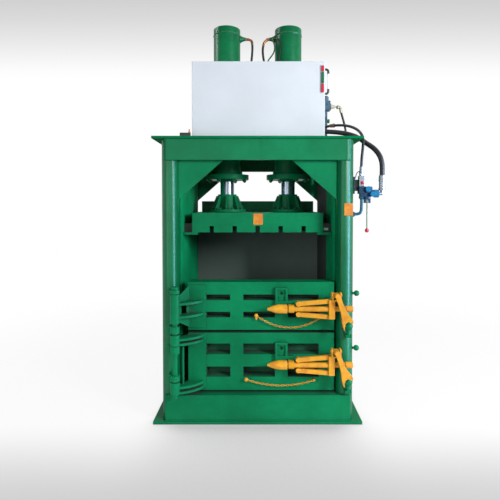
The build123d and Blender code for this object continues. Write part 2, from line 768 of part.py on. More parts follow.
def key_block(y0, y1, span, grow, corner):
    """An upright oblong across the cabinet's face, with rounded corners."""
    low, high = span
    half = key_half_width + grow
    outline = RectangleRounded(2 * half, high - low + 2 * grow, corner)
    return Pos(key_x, y1, (low + high) / 2) * extrude(Rot(90, 0, 0) * outline, y1 - y0, dir=(0, -1, 0))


case = box(cx0, cx1, cy0, cy1, top_plate_top, cabinet_top)
case = fillet(case.edges().filter_by(Axis.Z).group_by(Axis.Y)[0], cabinet_corner)
case -= box(cx0 + sheet, cx1 - sheet, cy0 + sheet, cy1 + 1, top_plate_top + sheet, cabinet_top - sheet)
bezel_span = (key_spans[-1][0], key_spans[0][1])
bezel = key_block(cy0 - bezel_thick, cy0, bezel_span, bezel_margin, key_corner + bezel_margin / 2)
for span in key_spans:
    hole = key_block(cy0 - key_proud, cy0 + sheet + 1, span, key_gap, key_corner + key_gap)
    case -= hole
    bezel -= hole
put("cabinet_case", case)
put("cabinet_back", box(cx0 + sheet, cx1 - sheet, cy1 - sheet, cy1,
                        top_plate_top + sheet, cabinet_top - sheet))
for button_name, span in zip(("upper_stop_button", "start_button", "lower_stop_button"), key_spans):
    put(button_name, key_block(cy0 - key_proud, cy0 + key_depth, span, 0, key_corner))
block_y = cy0 + key_depth + key_travel + seat_gap
block_low = bezel_span[0] - 20
block_high = bezel_span[1] + 20
block = box(key_x - 20, cx1 - sheet, block_y, block_y + 44, block_low, block_high)
put("button_housings", bezel, block)
handle_path = FilletPolyline(
    (cx1, handle_y, handle_z[0]), (cx1 + handle_reach, handle_y, handle_z[0]),
    (cx1 + handle_reach, handle_y, handle_z[1]), (cx1, handle_y, handle_z[1]), radius=16,
)
grab = sweep(Plane(origin=handle_path @ 0, z_dir=handle_path % 0) * Circle(8), path=handle_path)
put("cabinet_handle", grab)

# Oil tank, motor and pump
tx0, tx1 = tank_x
ty0, ty1 = tank_y
tub = box(tx0, tx1, ty0, ty1, top_plate_top, tank_top)
tub = fillet(tub.edges().filter_by(Axis.Z), tank_corner)
tub -= box(tx0 + tank_wall, tx1 - tank_wall, ty0 + tank_wall, ty1 - tank_wall,
           top_plate_top + tank_wall, tank_top + 1)
lid = box(tx0 - tank_lid, tx1 + tank_lid, ty0 - tank_lid, ty1 + tank_lid, tank_top, tank_top + tank_lid)
put("oil_tank", tub, lid)
cap_z = tank_top + tank_lid
put("filler_cap", rod_z(tx0 + 120, (ty0 + ty1) / 2, cap_z, cap_z + 38, 34))
motor_start = tx1 + 12
motor = rod_x(tx1, motor_start + 14, motor_y, motor_z, motor_radius + 14)
motor += rod_x(motor_start, motor_end - 30, motor_y, motor_z, motor_radius - 6)
motor += rod_x(motor_end - 34, motor_end, motor_y, motor_z, motor_radius)
fin_count = 20
fin_run = (motor_end - 30) - (motor_start + 14)
fin = box(motor_start + 14, motor_start + 14 + fin_run, -1.5, 1.5, motor_radius - 8, motor_radius)
for i in range(fin_count):
    motor += Pos(0, motor_y, motor_z) * Rot(360.0 * i / fin_count, 0, 0) * fin
put("electric_motor", motor)

pump_half = manifold_half
pump_z = top_plate_top + pump_bottom
pump = box(-pump_half, pump_half, ty0 - 72, ty0, pump_z, pump_z + pump_height)
pump += rod_y(0, ty0 - 72 - pump_flange, ty0 - 72, pump_z + pump_height / 2, 50)
rz0, rz1 = relief_z
relief = box(relief_x - 12, relief_x + 12, relief_y - 12, relief_y + 12, top_plate_top, rz0)
relief += box(relief_x - 40, relief_x + 40, relief_y - 40, relief_y + 40, top_plate_top, top_plate_top + 10)
relief += box(relief_x - 30, relief_x + 34, relief_y - 28, relief_y + 28, rz0, rz1)
relief += rod_z(relief_x + 2, relief_y, rz1, rz1 + 34, 22)
relief += rod_z(relief_x + 2, relief_y, rz1 + 34, rz1 + 42, 14)
nipple = Polyline(
    (relief_x + 34, 0), (relief_x + 34, 26), (relief_x + 42, 26), (relief_x + 46, 17), (relief_x + 70, 13),
    (relief_x + 78, 8), (relief_x + 92, 8), (relief_x + 92, 0), close=True,
)
relief += Pos(0, relief_y, rz0 + 34) * revolve(make_face(nipple), Axis.X)
put("hydraulic_pump", pump, relief)
put("manifold_block", box(-manifold_half, manifold_half, -manifold_half, manifold_half,
                          top_plate_top, top_plate_top + manifold_height))

# Hand valve beside the right column
vx0 = outer_half_width + valve_standoff
vx1 = outer_half_width + valve_reach
port_x = outer_half_width + valve_port_x
elbow_x = outer_half_width + elbow_reach
bracket = box(outer_half_width, vx0, valve_y - 8, valve_y + 8, 1632, 1712)
bracket += box(outer_half_width, outer_half_width + 10, valve_y - 30, valve_y + 30, 1612, 1732)
body = bracket + box(vx0, vx0 + 40, valve_y - 26, valve_y + 26, 1612, 1664)
body += box(vx0 + 10, vx1 - 6, valve_y - 22, valve_y + 22, 1592, 1640)
body += rod_x(vx0 + 20, vx1 - 20, valve_y, 1644, 20)
body += rod_z(lever_x, valve_y, lever_top + 26, 1600, 24)
pivot_z = lever_top + 10
fork_top = lever_top + 26
fork = box(lever_x - 22, lever_x + 22, valve_y - 12, valve_y + 12, pivot_z - 12, fork_top)
fork_gap = 7 + lever_gap
fork -= box(lever_x - fork_gap, lever_x + fork_gap, valve_y - 30, valve_y + 30, pivot_z - 30, pivot_z + 13)
fork += rod_x(lever_x - 22, lever_x + 22, valve_y, pivot_z, lever_radius)
put("valve_body", body + fork)
caps = [rod_y(lever_x, valve_y - 46, valve_y - 22, 1644, 20)]
caps.append(rod_y(lever_x + 31, valve_y - 48, valve_y - 22, 1610, 18))
caps.append(Pos(vx1 - 6, valve_y, 1614) * Rot(0, 90, 0) * extrude(RegularPolygon(28, 6), 34))
put("valve_caps", *caps)
cap_end = vx1 + 28
elbow = rod_x(cap_end, elbow_x, valve_y, 1614, elbow_radius)
elbow += rod_z(elbow_x, valve_y, 1614, 1640, elbow_radius)
elbow += Pos(elbow_x, valve_y, 1614) * Sphere(elbow_radius)
elbow += rod_z(elbow_x, valve_y, 1636, 1652, return_hose_radius + 6)
elbow += rod_z(elbow_x, valve_y, 1652, 1700, return_hose_radius + 3)
coupling = box(port_x - 19, port_x + 19, valve_y - 20, valve_y + 20, 1664, 1738)
coupling += rod_z(port_x, valve_y, 1738, 1762, 15)
put("valve_fittings", elbow, coupling)
drain = FilletPolyline(
    (port_x + 3, valve_y, 1592), (port_x + 3, valve_y, drain_z + 34), (port_x - 31, valve_y, drain_z),
    (outer_half_width, valve_y, drain_z), radius=18,
)
put("drain_tube", sweep(Plane(origin=drain @ 0, z_dir=drain % 0) * Circle(7), path=drain))
lever = rod_x(lever_x - 7, lever_x + 7, valve_y, pivot_z, 12)
lever += rod_z(lever_x, valve_y, lever_bottom, pivot_z, lever_radius)
put("valve_lever", lever - rod_x(lever_x - 40, lever_x + 40, valve_y, pivot_z, lever_radius + running_fit))
knob = Pos(lever_x, valve_y, lever_bottom - 14) * Sphere(15)
put("lever_knob", knob - rod_z(lever_x, valve_y, lever_bottom, lever_bottom + 10, lever_radius + running_fit))

# Hoses, held at both ends
manifold_top = top_plate_top + manifold_height
tube_path("valve_feed_hose", [
    (735, valve_y, 1762), (735, valve_y, 1845), (746, valve_y + 4, 1935), (763, valve_y + 36, 2030),
    (738, valve_y + 102, 2112), (680, valve_y + 190, 2166), (600, valve_y + 285, 2188),
    (510, valve_y + 372, 2186), (425, -10, 2180), (345, 92, 2178), (235, 150, 2184), (140, 160, 2190),
    (pump_half, 160, 2190),
], feed_hose_radius)
tube_path("valve_return_hose", [
    (882, valve_y, 1700), (882, valve_y, 1775), (877, valve_y + 9, 1850), (854, valve_y + 28, 1922),
    (816, valve_y + 62, 1990), (764, valve_y + 118, 2046), (698, valve_y + 184, 2086),
    (618, valve_y + 246, 2108), (530, valve_y + 306, 2117), (458, -92, 2118), (406, -18, 2115),
    (368, 60, 2112), (346, 134, 2110), (346, tank_y[0], 2110),
], return_hose_radius)
tube_path("left_cylinder_hose", [
    (-port_end, 0, port_z), (-88, 0, port_z), (-60, -2, 2864), (-40, -4, 2826), (-40, -6, 2766),
    (-52, -6, 2694), (-66, -4, 2604), (-66, 0, 2494), (-52, 0, 2374), (-38, 0, 2250), (-38, 0, manifold_top),
], cylinder_hose_radius)
tube_path("right_cylinder_hose", [
    (port_end, 0, port_z), (89, 0, port_z), (62, -2, 2860), (44, -4, 2818), (41, -6, 2762), (52, -6, 2692),
    (72, -4, 2604), (73, 0, 2500), (57, 0, 2376), (38, 0, 2250), (38, 0, manifold_top),
], cylinder_hose_radius)

os.makedirs("parts", exist_ok=True)
for node_name, solids in nodes.items():
    shape = solids[0] if len(solids) == 1 else Compound(children=solids)
    shape.label = node_name
    export_step(shape, f"parts/{node_name}.step")
print(len(nodes), "nodes")
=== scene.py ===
"""Looks of a vertical two-cylinder recycling baler, dressed round its fixed frame.

Metres, Z up, front at -Y.
"""
from __future__ import annotations

import json
import logging
import math
from dataclasses import dataclass, replace
from enum import Enum
from typing import Any, Callable, Iterable, Sequence

import bpy
import numpy as np
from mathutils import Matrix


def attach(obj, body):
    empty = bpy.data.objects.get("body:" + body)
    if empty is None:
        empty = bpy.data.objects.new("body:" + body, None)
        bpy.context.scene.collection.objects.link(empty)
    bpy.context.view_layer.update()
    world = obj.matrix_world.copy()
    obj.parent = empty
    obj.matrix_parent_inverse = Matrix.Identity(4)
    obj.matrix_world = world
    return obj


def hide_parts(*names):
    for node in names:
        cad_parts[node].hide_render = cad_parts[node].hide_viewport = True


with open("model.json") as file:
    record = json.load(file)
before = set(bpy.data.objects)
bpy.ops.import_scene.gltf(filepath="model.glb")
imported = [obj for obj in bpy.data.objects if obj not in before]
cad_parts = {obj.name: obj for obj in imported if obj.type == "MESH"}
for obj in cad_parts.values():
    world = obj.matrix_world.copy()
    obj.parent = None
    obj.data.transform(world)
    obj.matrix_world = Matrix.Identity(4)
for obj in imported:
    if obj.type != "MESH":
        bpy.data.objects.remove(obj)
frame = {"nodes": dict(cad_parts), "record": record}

LOG = logging.getLogger("baler")
Point = tuple[float, float, float]
Colour = tuple[float, float, float]


def srgb(red: int, green: int, blue: int) -> Colour:
    """Turn a display colour into a linear one.

    Args:
        red, green, blue: display values from 0 to 255.
    Returns:
        The linear colour.
    """
    def linear(value: float) -> float:
        """One channel's linear value."""
        share = value / 255.0
        return share / 12.92 if share <= 0.04045 else ((share + 0.055) / 1.055) ** 2.4

    return linear(red), linear(green), linear(blue)


def linked(name: str, data: Any) -> bpy.types.Object:
    """A new object in the scene.

    Args:
        name: its name.
        data: its mesh, curve, lamp or camera.
    Returns:
        The object.
    """
    thing = bpy.data.objects.new(name, data)
    bpy.context.scene.collection.objects.link(thing)
    return thing


class Kind(Enum):
    """What a finish is made of."""

    PAINT = "paint"
    METAL = "metal"
    RUBBER = "rubber"
    PLASTIC = "plastic"


def operator(operation: str, flip: bool = False) -> Callable[["Signal", Any], "Signal"]:
    """Make the method of one Python operator.

    Args:
        operation: the Math node's operation.
        flip: whether it is the reflected form, with the other value first.
    Returns:
        A method that adds the Math node.
    """
    def method(self: "Signal", other: Any) -> "Signal":
        """Add one Math node on the signal and the other value."""
        return self.math(operation, other, self) if flip else self.math(operation, self, other)

    return method


@dataclass
class Signal:
    """A shader number that can be used in Python expressions."""

    shade: "Shade"
    value: Any

    def math(self, operation: str, first: Any, second: Any) -> "Signal":
        """Add one Math node for an operation on two values."""
        node = self.shade.node("Math", {0: first, 1: second}, operation=operation)
        return Signal(self.shade, node.outputs[0])

    __add__, __radd__ = operator("ADD"), operator("ADD", True)
    __sub__, __rsub__ = operator("SUBTRACT"), operator("SUBTRACT", True)
    __mul__, __rmul__ = operator("MULTIPLY"), operator("MULTIPLY", True)
    __truediv__, __rtruediv__ = operator("DIVIDE"), operator("DIVIDE", True)

    def __abs__(self) -> "Signal":
        """Size without its sign."""
        return self.math("ABSOLUTE", self, 0.0)

    def most(self, other: Any) -> "Signal":
        """The larger of two values."""
        return self.math("MAXIMUM", self, other)

    def between(self, low: float, high: float) -> "Signal":
        """Rise smoothly from 0 at low to 1 at high.

        Args:
            low: where the result is 0.
            high: where the result is 1.
        Returns:
            The clamped signal.
        """
        inputs = {0: self, 1: low, 2: high, 3: 0.0, 4: 1.0}
        node = self.shade.node("MapRange", inputs, interpolation_type="SMOOTHSTEP", clamp=True)
        return Signal(self.shade, node.outputs[0])


class Shade:
    """Builds the nodes of one material or world."""

    def __init__(self, name: str, owner: Any = None) -> None:
        """Start with no nodes.

        Args:
            name: the new material's name.
            owner: a world whose nodes are built instead.
        """
        self.material = owner or bpy.data.materials.new(name)
        self.material.use_nodes = True
        self.tree = self.material.node_tree
        self.tree.nodes.clear()

    def node(self, kind: str, inputs: dict[Any, Any] | None = None, **settings: Any) -> Any:
        """Add a node.

        Args:
            kind: the node's type, without ShaderNode before it.
            inputs: values or links by socket name or number.
            settings: properties set before its sockets.
        Returns:
            The node.
        """
        node = self.tree.nodes.new("ShaderNode" + kind)
        for key, value in settings.items():
            setattr(node, key, value)
        for key, value in (inputs or {}).items():
            plain = value.value if isinstance(value, Signal) else value
            if isinstance(plain, bpy.types.NodeSocket):
                self.tree.links.new(plain, node.inputs[key])
            elif isinstance(plain, tuple) and len(plain) == 3 and node.inputs[key].type == "RGBA":
                node.inputs[key].default_value = (*plain, 1.0)
            else:
                node.inputs[key].default_value = plain
        return node

    def place(self) -> Any:
        """The Object coordinates socket."""
        return self.node("TexCoord").outputs["Object"]

    def axis(self, name: str) -> Signal:
        """The place along X, Y or Z of the object, in metres."""
        parts = self.node("SeparateXYZ", {0: self.place()})
        return Signal(self, parts.outputs[name])

    def along(self, axis: str, low: float, high: float, blur: float = 0.002) -> Signal:
        """1 between two places on an axis of the object and 0 outside.

        Args:
            axis: X, Y or Z.
            low, high: the places in metres.
            blur: half the width of each change.
        Returns:
            The signal.
        """
        where = self.axis(axis)
        return where.between(low - blur, low + blur) * (1.0 - where.between(high - blur, high + blur))

    def crown(self, crest: float, bulge: float, outer: bool, normal: Any) -> Any:
        """The normal of a face that is rounded across X: a height of bulge times the square of the distance.

        Args:
            crest: distance of the crest from the object's middle plane, on both sides.
            bulge: how fast the face falls away, per metre.
            outer: whether it is only rounded outside the crest.
            normal: the normal that it starts from.
        Returns:
            The normal socket.
        """
        offset = abs(self.axis("X")) - crest
        if outer:
            offset = offset.most(0.0)
        return self.bump(offset * offset * -bulge, 1.0, normal)

    def bump(self, height: Any, depth: float, normal: Any = None) -> Any:
        """The normal that a height pattern gives.

        Args:
            height: the pattern.
            depth: its height in metres.
            normal: the normal that it starts from, or the face's own.
        Returns:
            The normal socket.
        """
        inputs = {"Height": height, "Distance": depth, "Strength": 1.0}
        if normal is not None:
            inputs["Normal"] = normal
        return self.node("Bump", inputs).outputs[0]

    def noise(
        self, scale: float, detail: float = 3.0, rough: float = 0.55, stretch: Point = (1, 1, 1)
    ) -> Signal:
        """A noise pattern on Object coordinates.

        Args:
            scale: patterns per metre.
            detail: octaves.
            rough: roughness of the octaves.
            stretch: scale of each axis.
        Returns:
            The noise, about 0 to 1.
        """
        mapping = self.node("Mapping", {"Vector": self.place(), "Scale": stretch})
        inputs = {"Vector": mapping.outputs[0], "Scale": scale, "Detail": detail, "Roughness": rough}
        return Signal(self, self.node("TexNoise", inputs).outputs[0])

    def mix(self, factor: Any, first: Any, second: Any) -> Any:
        """Mix two colours.

        Args:
            factor: share of the second.
            first, second: colours or sockets.
        Returns:
            The colour socket.
        """
        node = self.node("Mix", {0: factor, 6: first, 7: second}, data_type="RGBA")
        return node.outputs[2]

    def blend(self, share: Any, first: Any, second: Any) -> Any:
        """Mix two shaders.

        Args:
            share: share of the second.
            first, second: the shaders' nodes.
        Returns:
            The shader's node.
        """
        return self.node("MixShader", {0: share, 1: first.outputs[0], 2: second.outputs[0]})

    def hollow(self, reach: float) -> Signal:
        """How deep a point lies in a corner, 0 in the open and 1 inside.

        Args:
            reach: how far the rays look.
        Returns:
            The signal.
        """
        node = self.node("AmbientOcclusion", {"Distance": reach}, samples=6)
        return 1.0 - Signal(self, node.outputs["AO"])

    def edge(self, radius: float) -> tuple[Signal, Any]:
        """Rounded edges.

        Args:
            radius: the edge's radius.
        Returns:
            A mask that is 1 on edges, and the rounded normal.
        """
        bevel = self.node("Bevel", {"Radius": radius}, samples=4)
        normal = self.node("NewGeometry").outputs["Normal"]
        inputs = {0: bevel.outputs[0], 1: normal}
        dot = self.node("VectorMath", inputs, operation="DOT_PRODUCT")
        return 1.0 - Signal(self, dot.outputs["Value"]), bevel.outputs[0]

    def close(self, kind: str, surface: Any) -> Any:
        """Link the last shader to the output and give back the material or world.

        Args:
            kind: the output node's type.
            surface: the shader's node.
        Returns:
            The material or world.
        """
        self.node(kind, {0: surface.outputs[0]})
        return self.material

    def finish(
        self, inputs: dict[str, Any], bump: Signal, depth: float, normal: Any = None
    ) -> bpy.types.Material:
        """Close the material with one Principled shader.

        Args:
            inputs: the shader's sockets.
            bump: height pattern.
            depth: the pattern's height in metres.
            normal: the normal that the bump starts from.
        Returns:
            The material.
        """
        sockets = {**inputs, "Normal": self.bump(bump, depth, normal)}
        shader = self.node("BsdfPrincipled", sockets)
        return self.close("OutputMaterial", shader)


@dataclass(frozen=True)
class Finish:
    """One surface finish of the baler."""

    name: str
    colour: Colour
    rough: float
    kind: Kind = Kind.PAINT
    shift: float = 0.16
    grime_and_shade: float = 0.55
    deep: float = 0.0
    wear_and_highlight: float = 0.25
    coat: float = 0.0
    edge: float = 0.003
    bare_and_highlight: Colour = srgb(86, 170, 134)
    grain: Point = (1.0, 1.0, 1.0)
    gloss: float = 0.32
    stain: Colour | None = None
    stain_share: float = 0.4
    bands: tuple[tuple[str | float, ...], ...] = ()
    band_colour: Colour = (0.8, 0.8, 0.8)
    bulge: float = 0.0
    crest: float = 0.610
    outer: bool = False
    slot: str = ""

    def build(self) -> bpy.types.Material:
        """Make the material with the method that is named after its kind."""
        return getattr(self, self.kind.value)()

    def tint(self, factor: float) -> Colour:
        """The colour made lighter or darker by a factor."""
        red, green, blue = self.colour
        return min(red * factor, 1.0), min(green * factor, 1.0), min(blue * factor, 1.0)

    def banded(self, shade: Shade, body: Any) -> Any:
        """Lay the band's colour over the body colour, between all the limits that the finish has.

        Args:
            shade: the material's nodes.
            body: the colour socket below.
        Returns:
            The colour socket.
        """
        if not self.bands:
            return body
        share = shade.along(*self.bands[0])
        for limits in self.bands[1:]:
            share = share * shade.along(*limits)
        return shade.mix(share, body, self.band_colour)

    def paint(self) -> bpy.types.Material:
        """Brushed-on enamel: cloudy tone, runs, corners darkened partly by soil and partly as painted shade,
        deep recesses greyed as painted shade, rubbed edges lightened partly as a painted highlight, orange
        peel.
        """
        shade = Shade(self.name)
        clouds = shade.noise(2.3, 5.0, 0.6)
        runs = shade.noise(7.0, 4.0, 0.6, (3.0, 3.0, 0.35))
        fine = shade.noise(60.0, 3.0)
        body = shade.mix(clouds.between(0.3, 0.72), self.tint(1 - self.shift), self.tint(1 + self.shift))
        body = shade.mix(runs.between(0.55, 0.8) * 0.35, body, self.tint(1 - 1.6 * self.shift))
        brush = shade.noise(34.0, 2.0, 0.5, (0.6, 1.0, 1.6)).between(0.35, 0.7)
        body = shade.mix(brush * self.shift, body, self.tint(1 - self.shift))
        if self.stain is not None:
            spots = shade.noise(19.0, 4.0, 0.65).between(0.42, 0.68)
            body = shade.mix(spots * self.stain_share, body, self.stain)
        body = self.banded(shade, body)
        # Corners darkened by ambient occlusion: partly soil and partly painted shade.
        dirt_and_shade = shade.hollow(0.05).between(0.25, 0.95) * (0.55 + fine * 0.5)
        body = shade.mix(dirt_and_shade * self.grime_and_shade, body, srgb(24, 30, 26))
        # Deep recesses, such as the door slots and the gaps by the columns, greyed: painted shade.
        body = shade.mix(shade.hollow(0.3).between(0.62, 0.93) * self.deep, body, srgb(66, 76, 73))
        ridge, normal = shade.edge(self.edge)
        if self.bulge:
            normal = shade.crown(self.crest, self.bulge, self.outer, normal)
        # Lighter edges: partly rubbed wear and partly a painted highlight.
        rub_and_highlight = ridge.between(0.02, 0.25) * fine.between(0.35, 0.62)
        body = shade.mix(rub_and_highlight * self.wear_and_highlight, body, self.bare_and_highlight)
        rough = self.rough + (clouds - 0.5) * 0.18 + dirt_and_shade * 0.25
        peel = shade.noise(180.0, 2.0)
        inputs = {
            "Base Color": body, "Roughness": rough, "Coat Weight": self.coat, "Coat Roughness": 0.22,
            "Specular IOR Level": self.gloss,
        }
        return shade.finish(inputs, peel + clouds * 3.0, 0.0004, normal)

    def metal(self) -> bpy.types.Material:
        """Bare metal: directional grain, dull patches and hollows darkened partly by soil and partly as
        painted shade.
        """
        shade = Shade(self.name)
        streak = shade.noise(220.0, 3.0, 0.6, self.grain)
        patch = shade.noise(9.0, 3.0)
        # Hollows darkened by ambient occlusion: partly soil and partly painted shade.
        dirt_and_shade = shade.hollow(0.02).between(0.3, 0.95)
        body = shade.mix(patch.between(0.3, 0.7), self.tint(1 - self.shift), self.tint(1.0))
        body = shade.mix(dirt_and_shade * self.grime_and_shade, body, srgb(30, 28, 26))
        ridge, normal = shade.edge(self.edge)
        rough = self.rough + (streak - 0.5) * 0.14 + (patch - 0.5) * 0.1 + ridge * 0.05
        inputs = {"Base Color": body, "Roughness": rough, "Metallic": 1.0}
        return shade.finish(inputs, streak, 0.00006, normal)

    def rubber(self) -> bpy.types.Material:
        """Wrapped rubber: cloth marks and a grey bloom."""
        shade = Shade(self.name)
        cloth = shade.noise(420.0, 2.0)
        bloom = shade.noise(16.0, 3.0)
        body = shade.mix(bloom.between(0.4, 0.75) * 0.6, self.colour, self.tint(2.2))
        rough = self.rough + (bloom - 0.5) * 0.2
        return shade.finish({"Base Color": body, "Roughness": rough}, cloth, 0.0003)

    def plastic(self) -> bpy.types.Material:
        """Moulded plastic: fine spark-eroded grain and faint handling marks."""
        shade = Shade(self.name)
        marks = shade.noise(40.0, 3.0)
        body = shade.mix(marks.between(0.35, 0.75), self.tint(0.9), self.tint(1.08))
        body = self.banded(shade, body)
        rough = self.rough + (marks - 0.5) * 0.12
        inputs = {"Base Color": body, "Roughness": rough, "Coat Weight": self.coat}
        return shade.finish(inputs, shade.noise(600.0, 1.0), 0.00008, shade.edge(0.0012)[1])


GREEN = Finish("green_enamel", srgb(5, 122, 78), 0.42, shift=0.22, grime_and_shade=0.8, deep=0.95, gloss=0.1)
FINISHES: dict[str, Finish] = {
    "green_paint": GREEN,
    "bracket_green": replace(
        GREEN, name="bracket_enamel", bands=(("X", 0.2125, 0.27), ("Y", -0.62, -0.556)),
        band_colour=srgb(226, 158, 42),
    ),
    "header_green": replace(
        GREEN, name="header_enamel", rough=0.4, deep=0.0, gloss=0.2, bulge=16.0, crest=0.618, outer=True,
        bands=(("X", 0.6165, 0.6185),), band_colour=srgb(6, 84, 54),
    ),
    "column_green": Finish(
        "column_enamel", srgb(4, 112, 70), 0.36, shift=0.2, grime_and_shade=0.6, gloss=0.36, bulge=8.4
    ),
    "barrel_green": Finish(
        "barrel_enamel", srgb(10, 112, 68), 0.34, shift=0.3, grime_and_shade=0.4, gloss=0.22, slot="green_paint"
    ),
    # Side walls: a lighter copy of the green, which is painted light, and the rear of the right wall's
    # inside painted grey, which is painted shade.
    "wall_painted_light_and_shade": Finish(
        "wall_enamel_painted_light_and_shade", srgb(14, 148, 96), 0.8, shift=0.25, grime_and_shade=0.2, gloss=0.02,
        bands=(("X", 0.3, 0.551), ("Y", -0.12, 1.0)), band_colour=srgb(70, 78, 76), slot="green_paint",
    ),
    "shade_green": Finish("shade_enamel", srgb(8, 120, 74), 0.8, shift=0.25, grime_and_shade=0.7, gloss=0.02),
    # Grey paint of the chamber's inside, darker towards its left side.
    "chamber_paint": Finish(
        "chamber_grey_paint", srgb(116, 130, 127), 0.75, shift=0.08, gloss=0.05, grime_and_shade=0.2,
        bare_and_highlight=srgb(116, 130, 124), bands=(("X", -1.0, -0.22, 0.26),), band_colour=srgb(88, 99, 96),
    ),
    "chrome_rod": Finish(
        "hard_chrome", srgb(168, 182, 198), 0.28, Kind.METAL, shift=0.3, grime_and_shade=0.4, grain=(1, 1, 0.05)
    ),
    "bright_bolts": Finish("bolt_paint", srgb(12, 104, 66), 0.5, wear_and_highlight=0.4, gloss=0.1),
    "latch_yellow": Finish(
        "latch_enamel", srgb(232, 166, 40), 0.42, shift=0.18, grime_and_shade=0.7, wear_and_highlight=0.3, coat=0.3,
        bare_and_highlight=srgb(240, 190, 84), stain=srgb(198, 98, 26), stain_share=0.45,
    ),
    "cabinet_paint": Finish(
        "cabinet_enamel", srgb(210, 218, 227), 0.5, shift=0.04, grime_and_shade=0.2, wear_and_highlight=0.1, bare_and_highlight=srgb(230, 236, 242)
    ),
    "power_unit_paint": Finish(
        "power_unit_enamel", srgb(84, 102, 122), 0.5, coat=0.3, bare_and_highlight=srgb(160, 168, 176)
    ),
    # A pale patch at the front of the right shoe is a painted highlight.
    "shoe_nylon": Finish(
        "guide_nylon", srgb(34, 44, 40), 0.5, Kind.PLASTIC, band_colour=srgb(176, 206, 200),
        bands=(("X", 0.492, 0.524), ("Z", 1.346, 1.364), ("Y", -0.6, -0.2)),
    ),
    "hose_rubber": Finish("hose_cover", srgb(24, 26, 30), 0.5, Kind.RUBBER),
    "valve_steel": Finish("machined_steel", srgb(160, 166, 174), 0.38, Kind.METAL, grime_and_shade=0.7),
    # Dark green-grey on the body beside the column is painted shade; the dark stain patches are partly
    # stains and partly painted shade.
    "valve_blue": Finish(
        "valve_enamel", srgb(20, 62, 104), 0.4, bare_and_highlight=srgb(60, 110, 150), stain=srgb(14, 44, 50),
        bands=(("X", 0.6, 0.716),), band_colour=srgb(18, 40, 38),
    ),
    "cap_blue": Finish("cap_enamel", srgb(10, 122, 178), 0.4, bare_and_highlight=srgb(90, 170, 215), gloss=0.2),
    "drain_blue": Finish(
        "drain_enamel", srgb(10, 92, 120), 0.35, coat=0.1, bare_and_highlight=srgb(80, 150, 170), slot="valve_blue"
    ),
    # Black ends, and a near-white middle that is a painted reflection standing in for a bright plated bow.
    "handle_bow": Finish(
        "bow_black_with_painted_reflection", srgb(24, 36, 34), 0.4, Kind.PLASTIC, bands=(("Z", 2.362, 2.470),),
        band_colour=srgb(236, 240, 242),
    ),
    "relief_paint": Finish(
        "relief_enamel", srgb(74, 104, 124), 0.4, shift=0.3, bare_and_highlight=srgb(170, 186, 196),
        stain=srgb(22, 54, 58), stain_share=0.75, bands=(("X", 0.586, 0.7),),
        band_colour=srgb(186, 182, 156),
    ),
    "lever_plate": Finish("lever_plating", srgb(134, 152, 122), 0.4, bare_and_highlight=srgb(206, 214, 196)),
    "brown_block": Finish(
        "block_casting", srgb(128, 98, 84), 0.6, bare_and_highlight=srgb(180, 150, 130), slot="valve_steel"
    ),
    "port_red": Finish("port_plug_red", srgb(188, 40, 40), 0.4, Kind.PLASTIC, slot="red_plastic"),
    "label_orange": Finish(
        "plate_orange", srgb(206, 122, 30), 0.55, shift=0.05, coat=0.3, bare_and_highlight=srgb(244, 190, 90),
        stain=srgb(238, 176, 52), stain_share=0.5,
    ),
    "black_plastic": Finish("moulded_black", srgb(28, 29, 31), 0.45, Kind.PLASTIC, coat=0.3),
    "red_plastic": Finish("moulded_red", srgb(206, 26, 58), 0.4, Kind.PLASTIC, coat=0.3),
    "start_green": Finish("moulded_green", srgb(10, 110, 72), 0.35, Kind.PLASTIC, coat=0.3),
    "copper_tube": Finish("drawn_copper", srgb(176, 128, 92), 0.4, Kind.METAL, slot="valve_steel"),
    "fitting_cream": Finish(
        "plated_fitting", srgb(190, 178, 146), 0.4, Kind.METAL, grime_and_shade=0.7, slot="valve_steel"
    ),
}
NODE_FINISH = {
    "headers": "header_green", "valve_caps": "cap_blue", "front_columns": "column_green",
    "rear_columns": "shade_green", "side_walls": "wall_painted_light_and_shade", "cylinder_barrels": "barrel_green",
    "button_housings": "cabinet_paint", "top_plate": "shade_green", "cabinet_handle": "handle_bow",
    "hydraulic_pump": "relief_paint", "valve_lever": "lever_plate", "upper_latch_bracket": "bracket_green",
    "lower_latch_bracket": "bracket_green",
}
MATERIALS: dict[str, bpy.types.Material] = {}


def material(name: str) -> bpy.types.Material:
    """The material of a finish, made on its first use.

    Args:
        name: the finish's key.
    Returns:
        The material.
    """
    if name not in MATERIALS:
        MATERIALS[name] = FINISHES[name].build()
    return MATERIALS[name]


